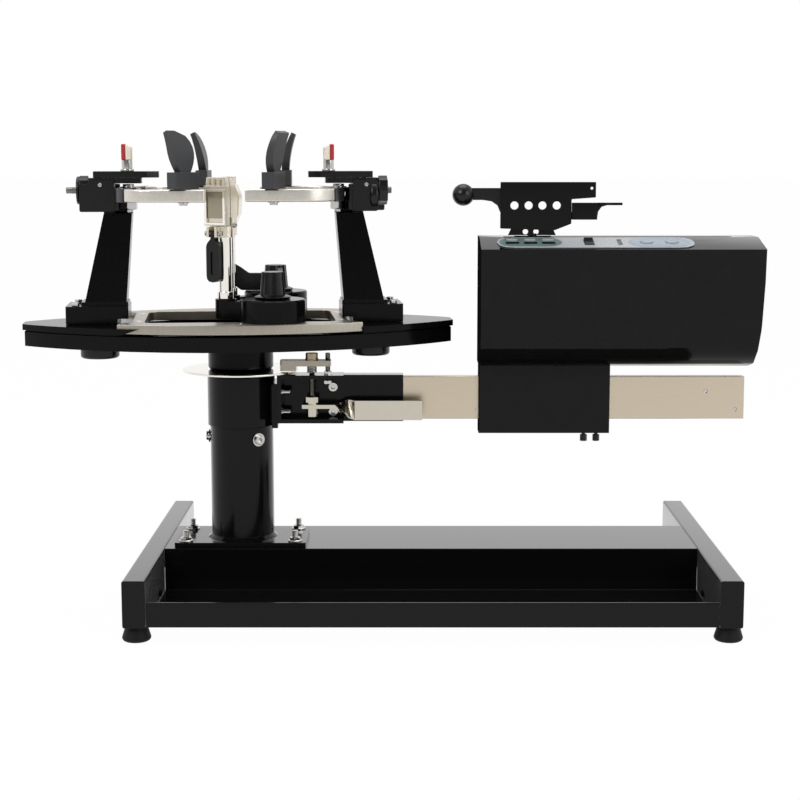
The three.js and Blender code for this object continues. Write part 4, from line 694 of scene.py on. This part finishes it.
finished("hub", 0.8 * MM, enamel_black)
lining("turntable", bed, "turntable_bed", "turntable", matte_black)
finished("turntable", 1.0 * MM, enamel_black)
satin_aluminium = finish_material(
    "satin_aluminium", (0.74, 0.7, 0.64), (0.66, 0.62, 0.56), (0.3, 0.38), 500, 0.000002, Metallic=1.0
)
rolled_aluminium = finish_material(
    "rolled_aluminium", (0.42, 0.385, 0.33), (0.37, 0.34, 0.29), (0.3, 0.4), 500, 0.000002,
    stretch=(1, 1, 0.2), Metallic=1.0,
)
finished("glide_ring", 0.8 * MM, rolled_aluminium)
table_frame = spot(0, 0, 0) @ Matrix.Rotation(math.radians(table_turn), 4, "Z")
ring_places = ((112, 45), (112, -45), (-112, 45), (-112, -45), (0, 84), (0, -84))
copies(cap_screw(4.2, 0.9, 0.45), "turntable", bright_zinc, {
    "ring_screw_%d" % (number + 1): table_frame @ shift(x, y, ring_top - 0.65)
    for number, (x, y) in enumerate(ring_places)
})
hub_angles = [math.radians(45 + 90 * turn) for turn in range(4)]
copies(cap_screw(5, 5, 0.5), "turntable", bright_zinc, {
    "hub_bolt_%d" % (number + 1): table_frame @ shift(26 * math.cos(angle), 26 * math.sin(angle), 306.2)
    for number, angle in enumerate(hub_angles)
})

# Racket towers: two tapered castings in black enamel that slide along the table's slots, with a rest on top
# for the housing and a wall behind the arm's nut. A knurled knob under the table locks each one with a bolt
# up into its foot, and two screws stand in the foot's corners.
moulded_black = finish_material(
    "moulded_black", (0.006, 0.006, 0.006), (0.004, 0.004, 0.004), (0.2, 0.28), 1200, 0.000002,
    Specular_IOR_Level=0.3,
)
tower_places = {"right": 148.5, "left": 158.0}
tower_frames = {}
foot_screw = cap_screw(4.4, 3.6, 0.5)
for side, place in tower_places.items():
    body = "tower_" + side
    half_turn = math.pi if side == "left" else 0.0
    tower_frames[side] = table_frame @ Matrix.Rotation(half_turn, 4, "Z") @ shift(place, 0, 324.1)
    finished(body, 1.5 * MM, enamel_black, segments=3)
    finished("tower_lock_" + side, 1.0 * MM, moulded_black)
    rest = rounded_edges(block(((-21.3, -9.2), (-15.8, 15.8), (121.3, 123.6))), 0.4 * MM)
    far_side = (12.9, 15.8) if side == "right" else (-15.8, -12.9)
    back_wall = rounded_edges(block(((-39.8, -20.8), far_side, (121.3, 135.6))), 0.8 * MM)
    rest = joined(rest, back_wall)
    settle(rest, "tower_rest_" + side, body, enamel_black, tower_frames[side])
    for number, y in enumerate((22, -22)):
        name = "tower_screw_%s_%d" % (side, number + 1)
        screw_frame = tower_frames[side] @ shift(24, y, 20)
        settle(copy_of(foot_screw), name, body, bright_zinc, screw_frame)
remove(foot_screw)

# Tower heads: moulded housings for the screws that push the pole supports in, each with its star knob and
# steel screw. Small lobes and cheeks stand out of the housing, and a set screw in its face takes up the
# guide's play. The right housing ends in a round collar, and the left knob has a flange.
along_x = Matrix.Rotation(math.pi / 2, 4, "Y")
screw_height = 146.6
screw_lengths = {"left": 41.0, "right": 30.5}
lobe = rounded_edges(block(((-7, 3), (-4, 4), (156.5, 161.4))), 1.9 * MM, segments=4)
front_cheek = rounded_edges(block(((-25.8, -20.8), (-19.6, -13.9), (124.5, 153.8))), 1.2 * MM, segments=3)
rear_cheek = rounded_edges(block(((-25.8, -20.8), (13.9, 19.6), (124.5, 134.8))), 1.2 * MM, segments=3)
play_screw = cap_screw(2.2, 1.2, 0.5)
for side in ("left", "right"):
    body = "tower_" + side
    head_frame = tower_frames[side]

    def bare_screw(middle, head_frame=head_frame):
        """Faces of the knob's own screw."""
        here = head_frame.inverted() @ middle / MM
        return here.x > 18.4 or here.x < 8.2

    finished("tower_head_" + side, 1.4 * MM, moulded_black, segments=3)
    finished("pole_knob_" + side, 0.9 * MM, moulded_black, without=bare_screw)
    pole_screw = thread(4, (0, screw_lengths[side]), 1.25)
    screw_frame = head_frame @ shift(-7.2, -8, screw_height) @ along_x
    settle(pole_screw, "pole_screw_" + side, "pole_knob_" + side, bright_zinc, screw_frame)
    lobe_frame = head_frame @ shift(0, -15.5, 0)
    settle(copy_of(lobe), "housing_lobe_" + side, body, moulded_black, lobe_frame)
    for end, cheek in (("front", front_cheek), ("rear", rear_cheek)):
        name = "housing_cheek_%s_%s" % (end, side)
        settle(copy_of(cheek), name, body, moulded_black, head_frame)
    face = -1 if side == "right" else 1
    play_frame = head_frame @ shift(-6, 20.0 * face, 153) @ Matrix.Rotation(math.pi / 2 * -face, 4, "X")
    settle(copy_of(play_screw), "housing_screw_" + side, body, bright_zinc, play_frame)
remove(lobe, front_cheek, rear_cheek, play_screw)
collar = rounded_edges(cylinder(17.2, (-2, 7.9), sides=64), 3.2 * MM, segments=5)
collar_frame = tower_frames["right"] @ shift(0, -8, 141) @ along_x
settle(collar, "housing_collar_right", "tower_right", moulded_black, collar_frame)
flange = rounded_edges(cylinder(15.6, (17.6, 21.6), sides=64), 1.8 * MM, segments=4)
flange_frame = tower_frames["left"] @ shift(0, -8, screw_height) @ along_x
settle(flange, "knob_flange_left", "pole_knob_left", moulded_black, flange_frame)

# Pole supports: black sliding bars, each with a grey steel stem and a pad for the racket's head or throat.
# The pad is cream plastic moulded on a red backing plate.
cream_plastic = finish_material(
    "cream_plastic", (0.72, 0.66, 0.55), (0.64, 0.58, 0.47), (0.4, 0.55), 900, 0.000006
)
red_plastic = finish_material(
    "red_plastic", (0.42, 0.012, 0.025), (0.34, 0.008, 0.018), (0.35, 0.5), 900, 0.000006
)
pad_stem = rounded_edges(cylinder(6, (7, 19.3)), 0.5 * MM)
pad_stem = joined(pad_stem, rounded_edges(cylinder(7.6, (7, 9.4)), 0.6 * MM))
pad_backing = rounded_edges(block(((1.2, 5.6), (-12, 12), (19.3, 37))), 1.3 * MM, segments=4)
pad = block(((-5.6, 1.0), (-12, 12), (19.3, 36)))
for vertex in pad.data.vertices:
    if vertex.co.x < 0 and vertex.co.z > 0:
        vertex.co.z -= 2.4 * MM
rounded_edges(pad, 1.4 * MM, segments=4)
stem_places = {"left": -35.0, "right": -47.0}
for side, stem in stem_places.items():
    body = "pole_support_" + side
    bar_frame = tower_frames[side] @ shift(0, 0, 160.9)

    def above_bar(middle, bar_frame=bar_frame):
        """Faces of the bar's own stem and pad."""
        return (bar_frame.inverted() @ middle).z > 7.02 * MM

    finished(body, 0.8 * MM, moulded_black, without=above_bar)
    stem_frame = bar_frame @ shift(stem, 0, 0)
    settle(copy_of(pad_stem), "pad_stem_" + side, body, bright_zinc, stem_frame)
    settle(copy_of(pad_backing), "pad_backing_" + side, body, red_plastic, stem_frame)
    settle(copy_of(pad), "pad_" + side, body, cream_plastic, stem_frame)
remove(pad_stem, pad_backing, pad)

# Arms: cast aluminium bows that cradle the racket's shoulders, each bolted to its tower through the boss in
# its middle, which is sleeved in black plastic. A plated nut and washer tighten it from below, and a cross
# screw pinches the boss.
arm_nut = joined(washer(12.5, 5, 1.6), nut(10.4, 10.5, 4.2), cylinder(4.2, (0, 13.5)))
arm_bolt = joined(washer(9, 4, 1.4), cap_screw(6.4, 4.2))
pinch_screw = joined(washer(4.6, 2.4, 1.2), cap_screw(3.9, 6.5, 0.55))
upside_down = Matrix.Rotation(math.pi, 4, "X")
sleeve_ends = {"left": -9, "right": -1}
arm_frames = {}
for side in ("left", "right"):
    body = "arm_" + side
    arm_frame = tower_frames[side] @ shift(-36, 0, 136.1) @ Matrix.Rotation(math.radians(-table_turn), 4, "Z")
    arm_frames[side] = arm_frame

    def boss_nut(middle, arm_frame=arm_frame):
        """Faces of the nut under the boss."""
        return (arm_frame.inverted() @ middle).z < -0.02 * MM

    sleeve = merged_copy(body)
    bpy.ops.object.mode_set(mode="EDIT")
    for place, normal in (((sleeve_ends[side], 0, 0), (-1, 0, 0)), ((0, 0, 0.05), (0, 0, -1))):
        bpy.ops.mesh.select_all(action="SELECT")
        bpy.ops.mesh.bisect(
            plane_co=arm_frame @ (Vector(place) * MM), plane_no=arm_frame.to_3x3() @ Vector(normal),
            use_fill=True, clear_outer=True,
        )
    bpy.ops.mesh.select_all(action="SELECT")
    bpy.ops.mesh.dissolve_limited(angle_limit=flat_angle)
    bpy.ops.transform.shrink_fatten(value=0.6 * MM)
    bpy.ops.mesh.normals_make_consistent(inside=False)
    bpy.ops.object.mode_set(mode="OBJECT")
    rounded_edges(sleeve, 0.8 * MM, segments=3)
    settle(sleeve, "arm_sleeve_" + side, body, moulded_black)
    finished(body, 1.6 * MM, satin_aluminium, segments=3, without=boss_nut)
    nut_frame = arm_frame @ upside_down
    settle(copy_of(arm_nut), "arm_nut_" + side, body, bright_zinc, nut_frame)
    bolt_frame = arm_frame @ shift(0, 0, 13.5)
    settle(copy_of(arm_bolt), "arm_bolt_" + side, body, bright_zinc, bolt_frame)
    toward = 1 if side == "left" else -1
    pinch_frame = arm_frame @ shift(4, 12.6 * toward, 6.8) @ Matrix.Rotation(-toward * math.pi / 2, 4, "X")
    settle(copy_of(pinch_screw), "arm_pinch_screw_" + side, body, bright_zinc, pinch_frame)
remove(arm_nut, arm_bolt, pinch_screw)

# Shoulder hooks: blocks of dark grey nylon with a fan-shaped blade that leans over the racket's frame. Each
# block is screwed down on its arm, so that it can be swung to suit the racket.
nylon_grey = finish_material(
    "nylon_grey", (0.03, 0.031, 0.033), (0.024, 0.025, 0.027), (0.36, 0.46), 900, 0.000005,
    Specular_IOR_Level=0.4,
)
hook_screw = joined(washer(6, 2.6, 1.0), cap_screw(4.4, 3.4))
hook_places = {"left": 73.0, "right": 66.0}
for side, hook_place in hook_places.items():
    for end in ("front", "rear"):
        body = "hook_%s_%s" % (end, side)
        finished(body, 1.3 * MM, nylon_grey, segments=3)
        toward = -1 if (side == "right") == (end == "front") else 1
        name = "hook_screw_%s_%s" % (end, side)
        screw_frame = arm_frames[side] @ shift(-hook_place, 92.0 * toward, 0) @ upside_down
        settle(copy_of(hook_screw), name, body, bright_zinc, screw_frame)
remove(hook_screw)

# String clamps: each stands on a black cast base that glides on the ring and is locked by the fluted knob
# on it. Under the ring is the shoe that the knob draws up, and the clamp's polished post is pressed into
# the base's lug.
for end in ("front", "rear"):
    finished("clamp_shoe_" + end, 0.5 * MM, brushed_steel)
    finished("clamp_base_" + end, 1.4 * MM, enamel_black, segments=3)
    finished("base_knob_" + end, 0.7 * MM, moulded_black)
    finished("clamp_post_" + end, 0.4 * MM, polished_steel)

# Clamp heads: two nickel-plated jaws whose teeth pass between the strings, with a bright rim round a darker
# panel on the moving one, a guide pin and an adjusting screw. The handle is a black moulded loop with a
# thin web, hung on a steel pin, and it squeezes the jaws when it is swung up.
nickel_cast = finish_material(
    "nickel_cast", (0.78, 0.72, 0.61), (0.74, 0.68, 0.57), (0.18, 0.24), 700, 0.0000006, Metallic=1.0
)
nickel_bright = finish_material(
    "nickel_bright", (0.95, 0.91, 0.83), (0.92, 0.88, 0.8), (0.07, 0.12), 500, 0.0000005, Metallic=1.0
)
nickel_panel = finish_material(
    "nickel_panel", (0.38, 0.34, 0.255), (0.35, 0.31, 0.235), (0.16, 0.24), 300, 0.000001, Metallic=1.0
)
rim = block(((-19.4, 7.4), (-12.2, -11.1), (104.2, 143.2)))
combined(rim, block(((-16.6, 4.6), (-13, -10), (107, 140.9))), "DIFFERENCE")
rounded_edges(rim, 0.45 * MM, segments=3)
panel = rounded_edges(block(((-16.7, 4.7), (-9.9, -8.6), (111.4, 141))), 0.5 * MM)
web = rounded_edges(block(((-9.3, -3.7), (-14.7, -12.3), (48.5, 75.5))), 0.4 * MM)
hinge_pin = joined(
    rounded_edges(cylinder(1.7, (-9.2, 9.2), sides=24), 0.3 * MM),
    rounded_edges(cylinder(2.9, (8.6, 10.2), sides=24), 0.3 * MM),
    rounded_edges(cylinder(2.9, (-10.2, -8.6), sides=24), 0.3 * MM),
)
adjuster = joined(cap_screw(3.0, 3.2, 0.5), cylinder(1.8, (-3, 0.2), sides=20))
guide_pin = rounded_edges(cylinder(2.2, (-1.8, 9.2), sides=20), 0.4 * MM)
unmoved = Matrix.Identity(4)
pin_turn = Matrix.Rotation(-math.pi / 2, 4, "X")
clamp_pieces = {  # name: pattern, body, material, slot, place on the clamp
    "jaw_rim": (rim, "clamp_jaw", nickel_bright, "polished_steel", unmoved),
    "jaw_panel": (panel, "clamp_jaw", nickel_panel, "cast_aluminium", unmoved),
    "clamp_web": (web, "clamp_handle", moulded_black, "black_plastic", unmoved),
    "clamp_pin": (hinge_pin, "clamp_body", bright_zinc, "polished_steel", shift(-6.5, -13.5, 95) @ along_x),
    "clamp_adjuster": (adjuster, "clamp_body", bright_zinc, "polished_steel", shift(8, 5.2, 104) @ along_x),
    "clamp_guide": (guide_pin, "clamp_body", bright_zinc, "polished_steel", shift(-15.2, 0, 136) @ pin_turn),
}
lug_reach = 62.5
clamps = {  # end: place of the base, heading of its lug, heading of the clamp
    "front": ((35.5, -60.0), 144.8, -27.0),
    "rear": ((42.1, 56.0), -150.0, -92.0),
}
for end, ((x, y), lug_heading, heading) in clamps.items():
    finished("clamp_body_" + end, 0.7 * MM, nickel_cast)
    finished("clamp_jaw_" + end, 0.6 * MM, nickel_cast)
    finished("clamp_handle_" + end, 1.4 * MM, moulded_black, segments=3)
    swing = math.radians(lug_heading)
    lug = shift(x + lug_reach * math.cos(swing), y + lug_reach * math.sin(swing), 328.9)
    clamp_frame = table_frame @ lug @ Matrix.Rotation(math.radians(heading - table_turn), 4, "Z")
    for name, (pattern, body, material, slot, place) in clamp_pieces.items():
        settle(copy_of(pattern), name + "_" + end, body + "_" + end, material, clamp_frame @ place)
remove(rim, panel, web, hinge_pin, adjuster, guide_pin)

# Tension head: a glossy black cover folded over the drive, with a skirt that rides on the rail. Its left
# end is covered by a matte sheet. An inlet for the mains lead is let into its back, beside two rows of
# vents.
gloss_black = finish_material(
    "gloss_black", (0.005, 0.005, 0.005), (0.0035, 0.0035, 0.0035), (0.06, 0.1), 60, 0.0000008,
    Specular_IOR_Level=0.14,
)
cover_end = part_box("head_cover")[0].x
cover_back = 38
backward = (0, 1, 0)
inlet_x, inlet_z = 540, 330


def end_face(middle, normal):
    """The left end of the cover."""
    return normal.x < -0.9 and middle.x < cover_end + 0.5 * MM


lining("head_cover", end_face, "cover_end_sheet", "tension_head", matte_black)
finished("head_cover", 1.5 * MM, gloss_black, segments=3)
screw_places = ((300, 300), (300, 395), (555, 300), (555, 395))
copies(cap_screw(3.4, 1.6, 0.5), "tension_head", bright_zinc, {
    "cover_screw_%d" % (number + 1): spot(x, cover_back, z, backward)
    for number, (x, z) in enumerate(screw_places)
})
vent = rounded_edges(block(((-14, 14), (-1.5, 1.5), (0, 0.8))), 0.35 * MM)
copies(vent, "tension_head", moulded_black, {
    "vent_louvre_%d" % (2 * row + column + 1): spot(400 + 44 * column, cover_back, 320 + 9 * row, backward)
    for row in range(4)
    for column in range(2)
})
inlet_rim = block(((-17, 17), (-13.2, 13.2), (0, 1.8)))
combined(inlet_rim, block(((-13.8, 13.8), (-10.1, 10.1), (-1, 3))), "DIFFERENCE")
rounded_edges(inlet_rim, 0.5 * MM)
inlet_frame = spot(inlet_x, cover_back, inlet_z, backward)
settle(inlet_rim, "inlet_rim", "tension_head", moulded_black, inlet_frame)
blade = rounded_edges(block(((-1, 1), (-2.2, 2.2), (0, 11))), 0.4 * MM)
copies(blade, "tension_head", bright_zinc, {
    "inlet_blade_%d" % (number + 1): spot(inlet_x + x, 22.2, inlet_z + z, backward)
    for number, (x, z) in enumerate(((-7, -6.4), (0, 6.6), (7, -6.4)))
})

# Control panel: a rounded strip of satin film on the sloping top, grey-green on the left and paler on the
# right. The weight keys stand in it, the black rocker beside them switches the power, and windows show the
# settings.
film_grey = finish_material(
    "film_grey", (0.35, 0.37, 0.39), (0.32, 0.34, 0.36), (0.25, 0.35), 500, 0.000002, Specular_IOR_Level=0.4
)
film_teal = finish_material(
    "film_teal", (0.11, 0.165, 0.16), (0.095, 0.145, 0.14), (0.25, 0.35), 500, 0.000002,
    Specular_IOR_Level=0.4,
)
film_blue = finish_material(
    "film_blue", (0.27, 0.32, 0.38), (0.24, 0.29, 0.34), (0.25, 0.35), 500, 0.000002, Specular_IOR_Level=0.4
)
window_black = finish_material(
    "window_black", (0.006, 0.012, 0.011), (0.004, 0.008, 0.008), (0.06, 0.1), 300, 0.000001,
    Specular_IOR_Level=0.4,
)
finished("control_panel", 0.2 * MM, film_grey)
for name in ("key_up", "key_down"):
    finished(name, 0.3 * MM, film_blue)
finished("power_switch", 0.5 * MM, moulded_black)
slope = math.atan2(11, 50)
panel_frame = spot(0, -33, 413.1) @ Matrix.Rotation(slope, 4, "X")
film_level = 1.2
window_x = [306, 326, 346]


def film_patch(half_width, half_depth, height, corner):
    """A thin raised patch with round corners."""
    patch = block(((-half_width, half_width), (-half_depth, half_depth), (0, height)))
    only(patch)
    bpy.ops.object.mode_set(mode="EDIT")
    bpy.ops.mesh.select_mode(type="EDGE")
    bpy.ops.mesh.select_all(action="DESELECT")
    bpy.ops.object.mode_set(mode="OBJECT")
    for edge in patch.data.edges:
        first, second = (patch.data.vertices[i].co for i in edge.vertices)
        edge.select = abs(first.z - second.z) > height * MM / 2
    bpy.ops.object.mode_set(mode="EDIT")
    bpy.ops.mesh.bevel(offset=corner * MM, segments=10, affect="EDGES")
    bpy.ops.mesh.select_mode(type="VERT")
    bpy.ops.object.mode_set(mode="OBJECT")
    return rounded_edges(patch, height * 0.3 * MM, angle=60)


# name, x, y, half width, half depth, height, corner radius, material
patches = [("display_field", 326, 0, 35, 17.5, 0.3, 17, film_teal)]
patches += [
    ("display_window_%d" % (n + 1), window_x[n], -5, 7.5, 3.6, 0.6, 1.4, window_black) for n in range(3)
]
patches += [("mode_key_%d" % (n + 1), window_x[n], 8, 6.5, 3.6, 0.7, 3.4, film_grey) for n in range(3)]
patches += [("key_field", 469, 0, 34, 17.5, 0.2, 17, film_blue)]
patches += [("lamp_window_%d" % (n + 1), 425, -8 + 8 * n, 2.6, 1.6, 0.5, 1.4, window_black) for n in range(3)]
for name, x, y, half_width, half_depth, height, corner, material in patches:
    patch = film_patch(half_width, half_depth, height, corner)
    level = film_level if name.endswith("field") else film_level + 0.3
    if name == "key_field":
        for key_x in (455, 483):
            combined(patch, cylinder(7.4, (-1, 2), (key_x - x, 0), sides=40), "DIFFERENCE")
    settle(patch, name, "tension_head", material, panel_frame @ shift(x, y, level))

# Gripper: black steel plates on a carriage that runs along the cover's slot and swivels as it draws the
# string. The jaw slides behind the drilled front plate, and the ball-ended lever closes it.
finished("carriage", 0.3 * MM, powder_black)
finished("gripper_body", 0.8 * MM, powder_black)
finished("gripper_jaw", 0.8 * MM, powder_black)
finished("gripper_lever", 0.8 * MM, moulded_black, angle=40)
bpy.ops.object.select_all(action="DESELECT")
bpy.ops.mesh.primitive_uv_sphere_add(segments=48, ring_count=24, radius=12.35 * MM, location=(0, 0, 0))
ball = bpy.context.object
bpy.ops.object.shade_smooth()
ball_frame = spot(252.5, -0.4, rail_bottom + 253.6)
settle(ball, "lever_ball", "gripper_lever", moulded_black, ball_frame)
lever_pivot = joined(rounded_edges(cylinder(2.2, (-0.6, 9.5), sides=24), 0.3 * MM), cap_screw(4.4, 2.0))
pivot_frame = spot(299.5, 6.9, rail_bottom + 240, backward)
settle(lever_pivot, "lever_pivot", "gripper_lever", bright_zinc, pivot_frame)

# Thumb screws: two knurled black screws under the skirt that lock the tension head on the rail. Their
# moulded heads are fixed on steel studs that press on the rail's lower edge.
for number in ("1", "2"):
    finished("thumb_screw_" + number, 0.3 * MM, moulded_black)
